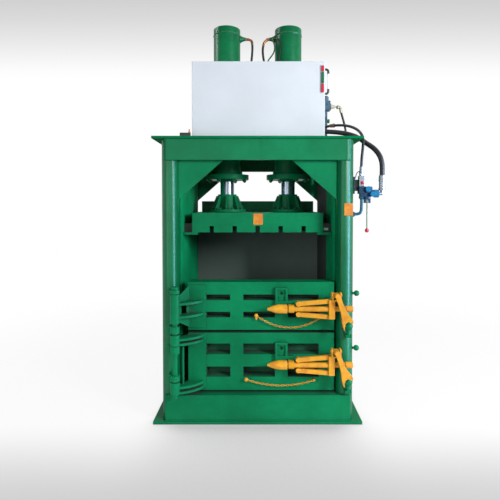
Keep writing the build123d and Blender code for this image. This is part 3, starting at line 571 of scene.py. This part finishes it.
class Mesh:
    """Surfaces worked out as whole arrays."""

    def __init__(self) -> None:
        """Start with nothing."""
        self.points: list[np.ndarray] = []
        self.faces: list[np.ndarray] = []
        self.count = 0

    def grid(
        self, points: np.ndarray, closed_u: bool = False, closed_v: bool = True, caps: bool = True
    ) -> None:
        """Add a grid of points as four-sided faces: row u and column v join their next neighbours.

        Args:
            points: rows, columns, 3.
            closed_u: whether the last row joins the first.
            closed_v: whether the last column joins the first.
            caps: whether open ends of a tube get a centre point.
        """
        rows, columns = points.shape[:2]
        number = np.arange(rows * columns).reshape(rows, columns) + self.count
        across = np.roll(number, -1, axis=1)
        along = np.roll(number, -1, axis=0)
        corner = np.roll(along, -1, axis=1)
        quads = np.stack([number, across, corner, along], axis=-1)
        quads = quads[: rows if closed_u else rows - 1, : columns if closed_v else columns - 1]
        self.faces.append(quads.reshape(-1, 4))
        self.points.append(points.reshape(-1, 3))
        self.count += rows * columns
        if caps and closed_v and not closed_u:
            for ring, flip in ((number[0], True), (number[-1], False)):
                centre = points[0 if flip else -1].mean(axis=0)
                self.points.append(centre[None])
                other = np.roll(ring, -1)
                middle = np.full_like(ring, self.count)
                pair = (other, ring) if flip else (ring, other)
                self.faces.append(np.stack([pair[0], pair[1], middle], axis=-1))
                self.count += 1

    def shape(self, name: str, smooth: bool) -> bpy.types.Object:
        """Make the object alone.

        Args:
            name: its name.
            smooth: whether faces are shaded smooth.
        Returns:
            The object.
        """
        data = bpy.data.meshes.new(name)
        faces = [face for block in self.faces for face in block.tolist()]
        data.from_pydata(np.concatenate(self.points).tolist(), [], faces)
        data.polygons.foreach_set("use_smooth", np.full(len(faces), smooth))
        data.update()
        return linked(name, data)

    def build(self, name: str, slot: str, body: str, smooth: bool = True) -> bpy.types.Object:
        """Make the object, dress it and put it on its body.

        Args:
            name: the piece's name.
            slot: the finish.
            body: the CAD body that it moves with.
            smooth: whether faces are shaded smooth.
        Returns:
            The object.
        """
        piece = self.shape(name, smooth)
        piece.data.materials.append(material(slot))
        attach(piece, body)
        LOG.info("%s: %d faces on %s", name, len(piece.data.polygons), body)
        return piece


GUIDE, STEEP_GUIDE, STEEP = (0.31, 0.17, 0.93), (0.95, 0.2, 0.1), 0.9


def axes_along(path: np.ndarray) -> tuple[np.ndarray, np.ndarray]:
    """Two unit directions across each point of a path, kept from twisting.

    Args:
        path: points, 3.
    Returns:
        The two directions at each point.
    """
    tangent = np.gradient(path, axis=0)
    tangent /= np.linalg.norm(tangent, axis=1)[:, None]
    first = np.cross(tangent, GUIDE if abs(tangent[0, 2]) < STEEP else STEEP_GUIDE)
    first /= np.linalg.norm(first, axis=1)[:, None]
    return first, np.cross(tangent, first)


def circle(angle: np.ndarray, radius: float = 1.0) -> np.ndarray:
    """Points of a level circle round the origin, at the angles given."""
    return np.stack([np.cos(angle) * radius, np.sin(angle) * radius, angle * 0], axis=-1)


def run_along(path: np.ndarray) -> np.ndarray:
    """Length of a path up to each of its points."""
    return np.concatenate([[0], np.cumsum(np.linalg.norm(np.diff(path, axis=0), axis=1))])


def tube(path: np.ndarray, radius: np.ndarray | float, sides: int = 12) -> np.ndarray:
    """Rings round a path: radius times the cosine and sine of the angle, on two directions across it.

    Args:
        path: points, 3.
        radius: one radius or one for each point.
        sides: points in a ring.
    Returns:
        The grid of points.
    """
    first, second = axes_along(path)
    angle = np.linspace(0, 2 * math.pi, sides, endpoint=False)
    size = np.broadcast_to(np.asarray(radius, float), (len(path),))[:, None, None]
    round_ = np.cos(angle)[None, :, None] * first[:, None] + np.sin(angle)[None, :, None] * second[:, None]
    return path[:, None] + size * round_


def turned(
    start: Sequence[float], way: Sequence[float], outline: Sequence[Sequence[float]], sides: int
) -> np.ndarray:
    """A turned shape: rings whose radii follow an outline along a straight line.

    Args:
        start: where the line starts.
        way: its unit direction.
        outline: place along the line and radius of each ring.
        sides: points in a ring.
    Returns:
        The grid of points.
    """
    reach, size = np.array(outline, float).T
    return tube(np.asarray(start) + reach[:, None] * np.asarray(way), size, sides)


def line(start: Point, end: Point, step: float) -> np.ndarray:
    """Evenly spaced points from start to end.

    Args:
        start, end: the ends.
        step: about how far apart the points stand.
    Returns:
        The points.
    """
    first, last = np.asarray(start, float), np.asarray(end, float)
    count = max(3, int(np.linalg.norm(last - first) / step) + 1)
    return first + np.linspace(0, 1, count)[:, None] * (last - first)


@dataclass
class Welds:
    """Fillet beads with the ripple of a hand weld."""

    radius: float = 0.0045
    ripple: float = 0.16
    pitch: float = 0.009
    chance: float = 0.08
    seed: int = 4

    def bead(self, mesh: Mesh, path: np.ndarray) -> None:
        """Add one bead: its radius swings with the sine of the length over the pitch, plus a little chance.

        Args:
            mesh: where it goes.
            path: points of its middle.
        """
        chance = np.random.default_rng(self.seed + mesh.count)
        swing = 1 + self.ripple * np.sin(2 * math.pi * run_along(path) / self.pitch)
        swing += self.chance * chance.standard_normal(len(path))
        swing[0] = swing[-1] = 0.5
        mesh.grid(tube(path, self.radius * swing, 7))

    def run(
        self, name: str, body: str, seams: Iterable[tuple[Point, Point]], slot: str = "green_paint"
    ) -> None:
        """Beads along straight seams, as one piece.

        Args:
            name: the piece's name.
            body: the CAD body.
            seams: start and end of each.
            slot: the material slot.
        """
        mesh = Mesh()
        for start, end in seams:
            self.bead(mesh, line(start, end, self.pitch / 3))
        mesh.build(name, slot, body)

    def ring(self, name: str, body: str, centres: Sequence[Point], radius: float) -> None:
        """Beads round upright bosses, as one piece.

        Args:
            name: the piece's name.
            body: the CAD body.
            centres: middle of each ring.
            radius: the ring's radius.
        """
        mesh = Mesh()
        angle = np.linspace(0, 2 * math.pi, int(2 * math.pi * radius / (self.pitch / 3)))
        for centre in centres:
            self.bead(mesh, circle(angle, radius) + np.asarray(centre))
        mesh.build(name, "green_paint", body)


@dataclass
class FrameDress:
    """Weld seams of the frame."""

    half_width: float = 0.647
    column_inner: float = 0.557
    face: float = -0.530
    plate_face: float = -0.546
    header_bottom: float = 1.845
    sill_top: float = 0.200
    base_top: float = 0.020
    top_under: float = 1.992
    closing: tuple[float, float] = (0.5604, -0.428)

    def build(self) -> None:
        """Make the beads, front and rear alike, and the ones that close the walls to the front columns."""
        x, y = self.closing
        closing = [((side * x, y, self.sill_top), (side * x, y, self.top_under)) for side in (-1, 1)]
        # The beads that close the walls take the walls' lighter green, which is painted light.
        Welds(0.0052, 0.1).run("wall_weld_beads", "frame", closing, "wall_painted_light_and_shade")
        seams: list[tuple[Point, Point]] = []
        for way in (1, -1):
            face, proud = self.face * way, self.plate_face * way
            for side in (-1, 1):
                inner, outer = side * self.column_inner, side * self.half_width
                for height in (self.header_bottom, self.sill_top):
                    seams.append(((inner, face, height), (outer, face, height)))
                for low, high in ((self.header_bottom, self.top_under), (self.base_top, self.sill_top)):
                    seams.append(((outer, face, low), (outer, face, high)))
            for height in (self.base_top, self.top_under):
                seams.append(((-self.half_width, proud, height), (self.half_width, proud, height)))
        Welds().run("frame_weld_beads", "frame", seams)


@dataclass
class PressDress:
    """Weld rings round the rod bosses."""

    cylinder_x: float = 0.248
    platen_top: float = 1.476
    boss_radius: float = 0.150
    hub_radius: float = 0.076
    flange_thick: float = 0.022

    def build(self) -> None:
        """Make the rings at the flange's rim and at the hub's foot."""
        centres = [(side * self.cylinder_x, 0.0, self.platen_top) for side in (-1, 1)]
        Welds(0.006, 0.14).ring("boss_flange_beads", "platen", centres, self.boss_radius)
        raised = [(x, y, z + self.flange_thick) for x, y, z in centres]
        Welds(0.005, 0.14).ring("boss_hub_beads", "platen", raised, self.hub_radius)


@dataclass
class Chain:
    """A hanging chain of round-wire links."""

    name: str
    body: str
    start: tuple[float, float]
    end: tuple[float, float]
    sag: float
    depth: float = -0.524
    door_face: float = -0.500
    foot: float = 0.0
    wire: float = 0.0019
    pitch: float = 0.018
    width: float = 0.014
    big_ball: float = 0.014
    small_ball: float = 0.009
    stem: float = 0.0064
    pole: float = 0.08
    link_points: tuple[int, int] = (20, 8)
    ball_points: tuple[int, int] = (17, 22)

    def place(self, share: np.ndarray) -> np.ndarray:
        """Points of the hanging line: the straight line less 4 times sag times share times 1 - share.

        Args:
            share: how far along the line each point stands.
        Returns:
            The points.
        """
        start, end = (np.array([x, self.depth, z]) for x, z in (self.start, self.end))
        part = share[:, None]
        return start + (end - start) * part - np.array([0.0, 0.0, 4 * self.sag]) * part * (1 - part)

    def link(self, middle: np.ndarray, slope: float, across: bool) -> np.ndarray:
        """A stadium ring: two half circles joined by straights, with a round wire.

        Args:
            middle: the link's centre.
            slope: angle of its long axis above the horizon.
            across: whether it stands across the door face.
        Returns:
            The grid of points.
        """
        half = (self.width / 2) - self.wire
        straight = self.pitch / 2 + self.wire - half
        angle, around = (np.linspace(0, 2 * math.pi, count, endpoint=False) for count in self.link_points)
        ring = circle(angle, half)
        ring[:, 0] += np.where(np.cos(angle) >= 0, straight, -straight)
        wire = np.cos(around)[None, :, None] * circle(angle)[:, None]
        wire = wire + np.sin(around)[None, :, None] * np.array([0, 0, 1.0])
        points = ring[:, None] + self.wire * wire
        quarter = np.array([[1, 0, 0], [0, 0, 1], [0, -1, 0]], float)
        points = points @ quarter @ quarter if across else points @ quarter
        cos, sin = math.cos(slope), math.sin(slope)
        return points @ np.array([[cos, 0, sin], [0, 1, 0], [-sin, 0, cos]]) + middle

    def ball(self, mesh: Mesh, centre: np.ndarray, radius: float, foot: float) -> None:
        """A ball on a stem that drops to the foot's height and then runs back to the door.

        Args:
            mesh: where it goes.
            centre: the ball's middle.
            radius: its radius.
            foot: height of the stem's end.
        """
        stem, back = self.stem, self.door_face - centre[1]
        rings, sides = self.ball_points
        around = np.linspace(self.pole, math.pi - self.pole, rings)
        angle = np.linspace(0, 2 * math.pi, sides, endpoint=False)
        ring = np.sin(around)[:, None] * radius
        x = centre[0] + ring * np.cos(angle)
        z = centre[2] + ring * np.sin(angle)
        y = np.broadcast_to((centre[1] - np.cos(around) * radius)[:, None], x.shape)
        mesh.grid(np.stack([x, y, z], axis=-1)[:, ::-1])
        drop = centre[2] - foot - stem
        if drop > 0.0:
            turn = np.linspace(0, math.pi / 2, 7)
            bend = np.stack([turn * 0, (1 - np.cos(turn)) * stem, -drop - np.sin(turn) * stem], axis=-1)
            path = np.concatenate([[[0.0, 0.0, 0.0]], bend, [[0.0, back, bend[-1, 2]]]])
        else:
            path = np.linspace([0.0, 0.0, 0.0], [0.0, back, 0.0], 3)
        mesh.grid(tube(path + centre, stem, 14))

    def build(self) -> None:
        """Make the chain in place of the plain one."""
        mesh = Mesh()
        shares = np.linspace(0, 1, 400)
        length = run_along(self.place(shares))
        count = int(length[-1] / self.pitch)
        spots = self.place(np.interp(np.arange(count + 1) * self.pitch, length, shares))
        for number, (here, after) in enumerate(zip(spots[:-1], spots[1:])):
            slope = math.atan2(after[2] - here[2], after[0] - here[0])
            mesh.grid(self.link((here + after) / 2, slope, number % 2 == 1), closed_u=True)
        first, last = spots[0], spots[-1]
        self.ball(mesh, first, self.big_ball, self.foot or first[2])
        self.ball(mesh, last, self.small_ball, last[2])
        piece = mesh.build(self.name + "_links", "latch_yellow", self.body)
        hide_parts(self.name)


FERRULE = (
    (0.0005, 1.2), (0.0008, 1.55), (0.014, 1.55), (0.0142, 1.25), (0.018, 1.25), (0.0182, 1.33),
    (0.042, 1.27), (0.0425, 1.04),
)
NUT_WALL = 0.006
PIPE_NUT = ((-0.001, 1.4), (0.0, 1.9), (0.012, 1.9), (0.013, 1.4), (0.020, 1.3), (0.021, 1.05))


def fit(
    mesh: Mesh, end: np.ndarray, inner: np.ndarray, radius: float, outline: Sequence[Sequence[float]],
    sides: int = 12, wall: float = math.inf,
) -> None:
    """Add a fitting at the end of a hose or pipe.

    Args:
        mesh: where it goes.
        end: the hose's or pipe's end.
        inner: a point further along it.
        radius: its radius.
        outline: place along it, and radius as a share of its own, of each ring.
        sides: points in a ring.
        wall: the most that a ring stands out from the hose.
    """
    way = (inner - end) / np.linalg.norm(inner - end)
    rings = [(reach, min(share * radius, radius + wall)) for reach, share in outline]
    mesh.grid(turned(end, way, rings, sides))


@dataclass
class Hose:
    """One hydraulic hose held at both ends, with crimped ferrules."""

    name: str
    route: tuple[Point, ...]
    radius: float = 0.010
    ends: str = "valve_steel"
    sleeve: float = 0.0
    sleeve_start: float = 0.012
    sleeve_wall: float = 0.16
    collars: tuple[float, ...] = ()

    def build(self) -> None:
        """Make the hose as a NURBS curve of order 3 on its chosen points, and its two ferrules.

        The points carry the hose's radius and the bevel is one, so that the curve's box is the hose's box.
        """
        curve = bpy.data.curves.new(self.name + "_cover", "CURVE")
        curve.dimensions = "3D"
        curve.bevel_depth = 1.0
        curve.bevel_resolution = 4
        curve.resolution_u = 12
        curve.use_fill_caps = True
        spline = curve.splines.new("NURBS")
        spline.points.add(len(self.route) - 1)
        for point, place in zip(spline.points, self.route):
            point.co = (*place, 1.0)
            point.radius = self.radius
        spline.order_u = 3
        spline.use_endpoint_u = True
        piece = linked(self.name + "_cover", curve)
        curve.materials.append(material("hose_rubber"))
        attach(piece, "frame")
        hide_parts(self.name)
        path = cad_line(piece)
        steps = run_along(path)
        2 * self.radius
        mesh = Mesh()
        route = np.array(self.route)
        for end, inner in ((route[0], route[1]), (route[-1], route[-2])):
            fit(mesh, end, inner, self.radius, FERRULE, wall=NUT_WALL)
        mesh.build(self.name + "_ferrules", self.ends, "frame", smooth=False)
        if self.collars:
            mesh = Mesh()
            for collar in self.collars:
                end, inner = along_line(path, steps, np.array([collar, collar + 0.004]))
                fit(mesh, end, inner, self.radius, FERRULE, wall=NUT_WALL)
            mesh.build(self.name + "_collars", "brown_block", "frame", smooth=False)
        if self.sleeve:
            mesh = Mesh()
            places = np.linspace(self.sleeve_start, self.sleeve, 16)
            size = np.full(16, self.radius * (1 + self.sleeve_wall))
            size[[0, -1]] = self.radius * (1 + self.sleeve_wall / 8)
            mesh.grid(tube(along_line(path, steps, places), size, 14))
            mesh.build(self.name + "_sleeve", self.ends, "frame")


def along_line(path: np.ndarray, steps: np.ndarray, places: np.ndarray) -> np.ndarray:
    """Points of a line at given lengths from its start.

    Args:
        path: the line's points.
        steps: length up to each point.
        places: the lengths wanted.
    Returns:
        One point for each.
    """
    return np.stack([np.interp(places, steps, path[:, axis]) for axis in range(3)], axis=-1)


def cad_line(piece: bpy.types.Object) -> np.ndarray:
    """Points of a curve object's own line, as the finished curve gives it.

    Args:
        piece: an object with one spline.
    Returns:
        The points in metres.
    """
    bevel = piece.data.bevel_depth
    piece.data.bevel_depth = 0.0
    bpy.context.view_layer.update()
    line_mesh = bpy.data.meshes.new_from_object(piece.evaluated_get(bpy.context.evaluated_depsgraph_get()))
    spots = np.empty(len(line_mesh.vertices) * 3)
    line_mesh.vertices.foreach_get("co", spots)
    bpy.data.meshes.remove(line_mesh)
    piece.data.bevel_depth = bevel
    return spots.reshape(-1, 3)


VALVE_Y = -0.470
HOSES = (
    Hose("valve_feed_hose", (
        (0.735, VALVE_Y, 1.762), (0.735, VALVE_Y, 1.845), (0.746, VALVE_Y + 0.004, 1.935),
        (0.758, VALVE_Y + 0.036, 2.015), (0.738, VALVE_Y + 0.102, 2.082), (0.680, VALVE_Y + 0.190, 2.130),
        (0.600, VALVE_Y + 0.285, 2.150), (0.510, VALVE_Y + 0.372, 2.148), (0.425, -0.010, 2.144),
        (0.345, 0.092, 2.148), (0.235, 0.150, 2.165), (0.140, 0.160, 2.190), (0.070, 0.160, 2.190),
    ), collars=(0.600,)),
    Hose("valve_return_hose", (
        (0.882, VALVE_Y, 1.700), (0.884, VALVE_Y + 0.001, 1.768), (0.884, VALVE_Y + 0.008, 1.835),
        (0.868, VALVE_Y + 0.022, 1.893), (0.834, VALVE_Y + 0.050, 1.944), (0.790, VALVE_Y + 0.092, 1.984),
        (0.744, VALVE_Y + 0.140, 2.032), (0.690, VALVE_Y + 0.190, 2.064), (0.618, VALVE_Y + 0.246, 2.088),
        (0.530, VALVE_Y + 0.306, 2.104), (0.458, -0.092, 2.112), (0.406, -0.018, 2.113),
        (0.368, 0.060, 2.112), (0.346, 0.134, 2.110), (0.346, 0.200, 2.110),
    ), 0.018),
    Hose("left_cylinder_hose", (
        (-0.1125, 0.0, 2.877), (-0.076, 0.0, 2.876), (-0.050, -0.002, 2.868), (-0.042, -0.004, 2.838),
        (-0.042, -0.006, 2.776), (-0.050, -0.006, 2.694), (-0.064, -0.004, 2.604), (-0.066, 0.0, 2.494),
        (-0.052, 0.0, 2.374), (-0.038, 0.0, 2.250), (-0.038, 0.0, 2.130),
    ), 0.009, ends="copper_tube", sleeve=0.100),
    Hose("right_cylinder_hose", (
        (0.1125, 0.0, 2.877), (0.086, 0.0, 2.876), (0.058, -0.002, 2.858), (0.043, -0.004, 2.818),
        (0.041, -0.006, 2.762), (0.052, -0.006, 2.692), (0.072, -0.004, 2.604), (0.073, 0.0, 2.500),
        (0.057, 0.0, 2.376), (0.038, 0.0, 2.250), (0.038, 0.0, 2.130),
    ), 0.009, ends="copper_tube", sleeve=0.100),
)
CHAINS = (
    Chain("upper_chain", "upper_door", (-0.009, 0.757), (0.447, 0.745), 0.079, foot=0.730),
    Chain("lower_chain", "lower_door", (-0.080, 0.303), (0.412, 0.303), 0.042),
)


def bend_through(points: Sequence[Point], step: float = 0.006) -> np.ndarray:
    """A smooth line: quadratic pieces between the middles of the runs, with the runs' corners as handles.

    Args:
        points: the corners, ends included.
        step: spacing of the line's points.
    Returns:
        The line's points.
    """
    corners = np.asarray(points, float)
    middles = (corners[:-1] + corners[1:]) / 2
    middles[0], middles[-1] = corners[0], corners[-1]
    pieces = []
    for first, handle, last in zip(middles[:-1], corners[1:-1], middles[1:]):
        count = max(4, int(np.linalg.norm(last - first) / step))
        share = np.linspace(0, 1, count, endpoint=False)[:, None]
        pieces.append((1 - share) ** 2 * first + 2 * share * (1 - share) * handle + share ** 2 * last)
    return np.concatenate([*pieces, corners[-1:]])


@dataclass
class Pipe:
    """A rigid bent pipe with a nut at each end."""

    name: str
    corners: tuple[Point, ...]
    radius: float
    slot: str
    nuts: str
    stands_for: str = ""
    elbow: float = 0.0
    elbow_wall: float = 0.3

    def build(self) -> None:
        """Make the pipe, its two nuts and the thicker elbow that it may start with."""
        path = bend_through(self.corners)
        mesh = Mesh()
        mesh.grid(tube(path, self.radius))
        piece = mesh.build(self.name, self.slot, "frame")
        if self.stands_for:
            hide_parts(self.stands_for)
        mesh = Mesh()
        for end, inner in ((path[0], path[3]), (path[-1], path[-4])):
            fit(mesh, end, inner, self.radius, PIPE_NUT, 6)
        if self.elbow:
            mesh.grid(tube(path[run_along(path) < self.elbow], self.radius * (1 + self.elbow_wall)))
        mesh.build(self.name + "_nuts", self.nuts, "frame", smooth=False)


PIPES = (
    Pipe("relief_drain_pipe", (
        (0.636, -0.060, 2.319), (0.660, -0.060, 2.318), (0.668, -0.060, 2.280), (0.680, -0.060, 2.235),
        (0.702, -0.060, 2.160), (0.710, -0.060, 2.090), (0.710, -0.060, 2.009),
    ), 0.0085, "hose_rubber", "fitting_cream", elbow=0.07),
    Pipe("right_pilot_pipe", (
        (0.122, -0.015, 2.868), (0.126, -0.030, 2.846), (0.138, -0.036, 2.812), (0.136, -0.036, 2.768),
        (0.112, -0.034, 2.728), (0.078, -0.030, 2.690), (0.060, -0.030, 2.560), (0.052, -0.030, 2.300),
        (0.052, -0.030, 2.131),
    ), 0.0055, "green_paint", "copper_tube"),
    Pipe("valve_pilot_pipe", (
        (0.673, -0.482, 1.712), (0.690, -0.486, 1.714), (0.694, -0.488, 1.752), (0.712, -0.488, 1.772),
        (0.728, -0.486, 1.756), (0.728, -0.484, 1.738),
    ), 0.003, "hose_rubber", "valve_steel"),
    Pipe("right_loop_pipe", (
        (0.126, -0.022, 2.868), (0.150, -0.066, 2.864), (0.174, -0.094, 2.824), (0.180, -0.099, 2.775),
        (0.172, -0.100, 2.715), (0.162, -0.100, 2.640), (0.162, -0.098, 2.500), (0.162, -0.066, 2.440),
    ), 0.0045, "hose_rubber", "green_paint"),
    Pipe("drain_bend", (
        (0.738, -0.470, 1.592), (0.738, -0.470, 1.540), (0.736, -0.470, 1.478), (0.708, -0.470, 1.467),
        (0.673, -0.470, 1.467),
    ), 0.0105, "drain_blue", "drain_blue", "drain_tube"),
)


@dataclass
class ClampBar:
    """Small clamp bar on the top plate's front left."""

    ends: tuple[float, float] = (-0.540, -0.466)
    middle: tuple[float, float] = (-0.520, 2.0212)
    half: float = 0.0185
    chamfer: float = 0.0025

    def build(self) -> None:
        """Make the bar as one strip: rings of four corners at a half diagonal, smaller at both ends."""
        low, high = self.ends
        angle = math.pi / 4 + np.arange(4) * math.pi / 2
        size = self.half - np.array([self.chamfer, 0.0, 0.0, self.chamfer])
        grid = np.zeros((4, 4, 3))
        grid[:, :, 0] = np.array([low, low + 0.002, high - 0.002, high])[:, None]
        across = np.stack([np.cos(angle), np.sin(angle)], axis=-1)
        grid[:, :, 1:] = size[:, None, None] * across + np.array(self.middle)
        mesh = Mesh()
        mesh.grid(grid)
        mesh.build("clamp_bar", "black_plastic", "frame", smooth=False)


@dataclass
class Turned:
    """A small fitting of the frame that is turned, or cut from a bar with a few sides."""

    name: str
    slot: str
    outline: tuple[tuple[float, float], ...]
    starts: tuple[tuple[Point, Point], ...]
    sides: int = 6
    smooth: bool = False

    def build(self) -> None:
        """Make it at each start, along the direction that stands beside it."""
        mesh = Mesh()
        for start, way in self.starts:
            mesh.grid(turned(start, way, self.outline, self.sides))
        mesh.build(self.name, self.slot, "frame", smooth=self.smooth)


FITTINGS = (
    Turned("port_cones", "barrel_green", (
        (0.006, 0.034), (0.0, 0.032), (-0.004, 0.029), (-0.012, 0.023), (-0.022, 0.0185), (-0.034, 0.0150),
        (-0.046, 0.0130), (-0.048, 0.0110),
    ), (((-0.1405, 0.0, 2.877), (-1.0, 0.0, 0.0)), ((0.1405, 0.0, 2.877), (1.0, 0.0, 0.0))), 24, True),
    Turned("post_plug", "green_paint", (
        (-0.001, 0.011), (0.004, 0.011), (0.0042, 0.0165), (0.018, 0.0165), (0.019, 0.013),
    ), (((0.557, -0.060, 2.204), (1.0, 0.0, 0.0)),)),
    ClampBar(),
    Turned("clamp_stud", "copper_tube", (
        (0.0, 0.004), (0.026, 0.004), (0.0262, 0.010), (0.036, 0.010), (0.037, 0.006), (0.052, 0.006),
        (0.053, 0.003),
    ), (((-0.474, -0.520, 2.008), (0.0, 0.0, 1.0)),)),
    Turned("valve_port_plug", "port_red", (
        (0.001, 0.011), (-0.003, 0.011), (-0.004, 0.008), (-0.008, 0.007), (-0.009, 0.002),
    ), (((0.738, -0.4905, 1.690), (0.0, 1.0, 0.0)),), 18),
)


@dataclass(frozen=True)
class Lamp:
    """A soft area lamp: its place, the point that it faces, its width, power in watts and height.

    A sheen lamp is only seen as a reflection.
    """

    name: str
    place: Point
    aim: Point
    size: float
    power: float
    tall: float
    colour: Colour = (1.0, 1.0, 1.0)
    sheen: bool = False

    def build(self) -> None:
        """Hang the lamp, turned so that it shines from its place to its aim."""
        data = bpy.data.lights.new(self.name, "AREA")
        data.shape = "RECTANGLE"
        data.size, data.size_y = self.size, self.tall
        data.energy, data.color = self.power, self.colour
        lamp = linked(self.name, data)
        lamp.location = self.place
        lamp.visible_diffuse = not self.sheen
        x, y, z = np.array(self.aim) - np.array(self.place)
        lamp.rotation_euler = (math.atan2(math.hypot(x, y), -z), 0, math.atan2(-x, y))


COOL = (0.32, 0.55, 1.0)
LAMPS = (
    Lamp("key_right", (3.3, -3.6, 2.6), (0.0, -0.3, 1.3), 0.9, 190.0, 1.4),
    Lamp("fill_front", (-1.2, -4.8, 2.0), (0.0, -0.3, 1.2), 2.6, 30.0, 2.4),
    Lamp("fill_left", (-3.4, -3.0, 1.6), (0.0, -0.3, 1.2), 2.0, 42.0, 2.4),
    Lamp("top_soft", (0.3, 0.4, 5.2), (0.0, 0.0, 2.0), 3.0, 60.0, 3.0),
    Lamp("edge_right", (3.4, -1.5, 1.0), (0.0, -0.5, 1.2), 1.5, 330.0, 2.5, COOL, True),
    Lamp("edge_left_top", (-3.2, 0.2, 3.7), (0.0, 0.0, 2.7), 0.6, 45.0, 1.4, sheen=True),
    Lamp("side_right", (4.2, -0.6, 1.8), (0.0, -0.3, 1.3), 1.6, 45.0, 3.0),
)


@dataclass
class Studio:
    """Floor, world, lamps and the camera."""

    eye: Point = (0.0, -3.51, 1.533)
    pitch: float = 1.5
    focal_px: float = 428.0
    picture_px: float = 500.0
    centre_px: tuple[float, float] = (257.6, 216.2)
    world_level: float = 0.24
    room_level: float = 0.13
    rays: tuple[str, ...] = ("Camera", "Glossy", "Transmission")
    backdrop: tuple[tuple[float, float], ...] = (
        (0.0, 1.0), (0.29, 1.0), (0.313, 0.974), (0.381, 0.807), (0.427, 0.708), (0.472, 0.638), (1.0, 0.5),
    )

    def camera(self) -> None:
        """Set the camera: its shift is what the picture's centre lacks to the principal point."""
        data = bpy.data.cameras.new("camera")
        data.sensor_width = 36.0
        data.lens = self.focal_px / self.picture_px * data.sensor_width
        half = self.picture_px / 2
        data.shift_x = (half - self.centre_px[0]) / self.picture_px
        data.shift_y = (self.centre_px[1] - half) / self.picture_px
        data.clip_end = 60.0
        camera = linked("camera", data)
        camera.location = self.eye
        camera.rotation_euler = (math.radians(90 - self.pitch), 0, 0)
        bpy.context.scene.camera = camera

    def world(self) -> None:
        """Even light on the object, and for the camera a backdrop that is grey at the top."""
        world = bpy.data.worlds.new("studio_world")
        bpy.context.scene.world = world
        shade = Shade("", world)
        around = shade.node("TexCoord").outputs["Generated"]
        parts = shade.node("SeparateXYZ", {0: around}).outputs
        across, deep, up = (Signal(shade, parts[name]) for name in "XYZ")
        ramp = shade.node("ValToRGB", {0: up / abs(across).most(abs(deep))})
        while len(ramp.color_ramp.elements) < len(self.backdrop):
            ramp.color_ramp.elements.new(0.5)
        for element, (place, level) in zip(ramp.color_ramp.elements, self.backdrop):
            element.position = place
            element.color = (level, level, level, 1)
        rays = shade.node("LightPath").outputs
        camera, glossy, through = (Signal(shade, rays[f"Is {name} Ray"]) for name in self.rays)
        rise = {0: deep, 1: -0.14, 2: 0.10, 3: self.room_level, 4: 1.0}
        behind = shade.node("MapRange", rise)
        level = Signal(shade, behind.outputs[0]).most(camera)
        seen = shade.node("Background", {"Color": ramp.outputs[0], "Strength": level})
        plain = {"Color": (0.94, 0.97, 1.0), "Strength": self.world_level}
        even = shade.node("Background", plain)
        shown = camera.most(glossy).most(through)
        shade.close("OutputWorld", shade.blend(shown, even, seen))

    def floor(self) -> None:
        """A pale floor that darkens towards the viewer, with a painted shadow in front of and close round
        the baler's foot, and fades out far away.
        """
        mesh = Mesh()
        span = np.linspace(-7, 7, 15)
        x, y = np.meshgrid(span, span)
        mesh.grid(np.stack([x, y, x * 0], axis=-1), closed_v=False, caps=False)
        floor = mesh.shape("studio_floor", False)
        shade = Shade("studio_floor_paint")
        near = shade.axis("Y").between(-1.45, -0.50)
        colour = shade.mix(near, (0.63, 0.63, 0.63), (0.995, 0.995, 0.995))
        lit = shade.node("BsdfDiffuse", {"Color": colour})
        # Painted shadow on the floor: dark in front of the base and close round it, by ambient occlusion.
        before = (1.0 - shade.axis("Y").between(-0.62, -0.46)) * shade.along("X", -0.72, 0.72, 0.22)
        painted_contact_shadow = shade.hollow(1.0) * before * 0.9 + shade.hollow(0.16) * 0.3
        colour = shade.mix(painted_contact_shadow, colour, (0.06, 0.06, 0.065))
        glow = shade.node("Emission", {"Color": colour, "Strength": 1.0})
        rays = shade.node("LightPath")
        seen = Signal(shade, rays.outputs["Is Camera Ray"]) * 0.9
        paint = shade.blend(seen, lit, glow)
        away = shade.node("VectorMath", {0: shade.place()}, operation="LENGTH")
        fade = Signal(shade, away.outputs["Value"]).between(1.6, 4.5)
        clear = shade.node("BsdfTransparent")
        faded = shade.blend(fade, paint, clear)
        floor.data.materials.append(shade.close("OutputMaterial", faded))

    def build(self) -> None:
        """Set up everything that isn't the object."""
        bpy.context.scene.view_settings.view_transform = "Standard"
        self.camera()
        self.world()
        self.floor()
        for lamp in LAMPS:
            lamp.build()


def dress_nodes() -> None:
    """Give every CAD node the material of its slot."""
    slots = {entry["node"]: entry["material_slot"] for entry in frame["record"]["subparts"]}
    for node, slot in slots.items():
        piece = frame["nodes"][node]
        piece.data.materials.clear()
        piece.data.materials.append(material(NODE_FINISH.get(node, slot)))
        LOG.info("%s takes %s", node, slot)


def main() -> None:
    """Build the studio, then dress the baler from the frame outwards."""
    logging.basicConfig(level=logging.INFO, format="%(name)s: %(message)s")
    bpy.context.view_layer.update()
    Studio().build()
    dress_nodes()
    for hose in HOSES:
        hose.build()
    for dress in (FrameDress(), PressDress(), *FITTINGS, *PIPES):
        dress.build()
    for chain in CHAINS:
        chain.build()


if __name__ == "__main__":
    main()
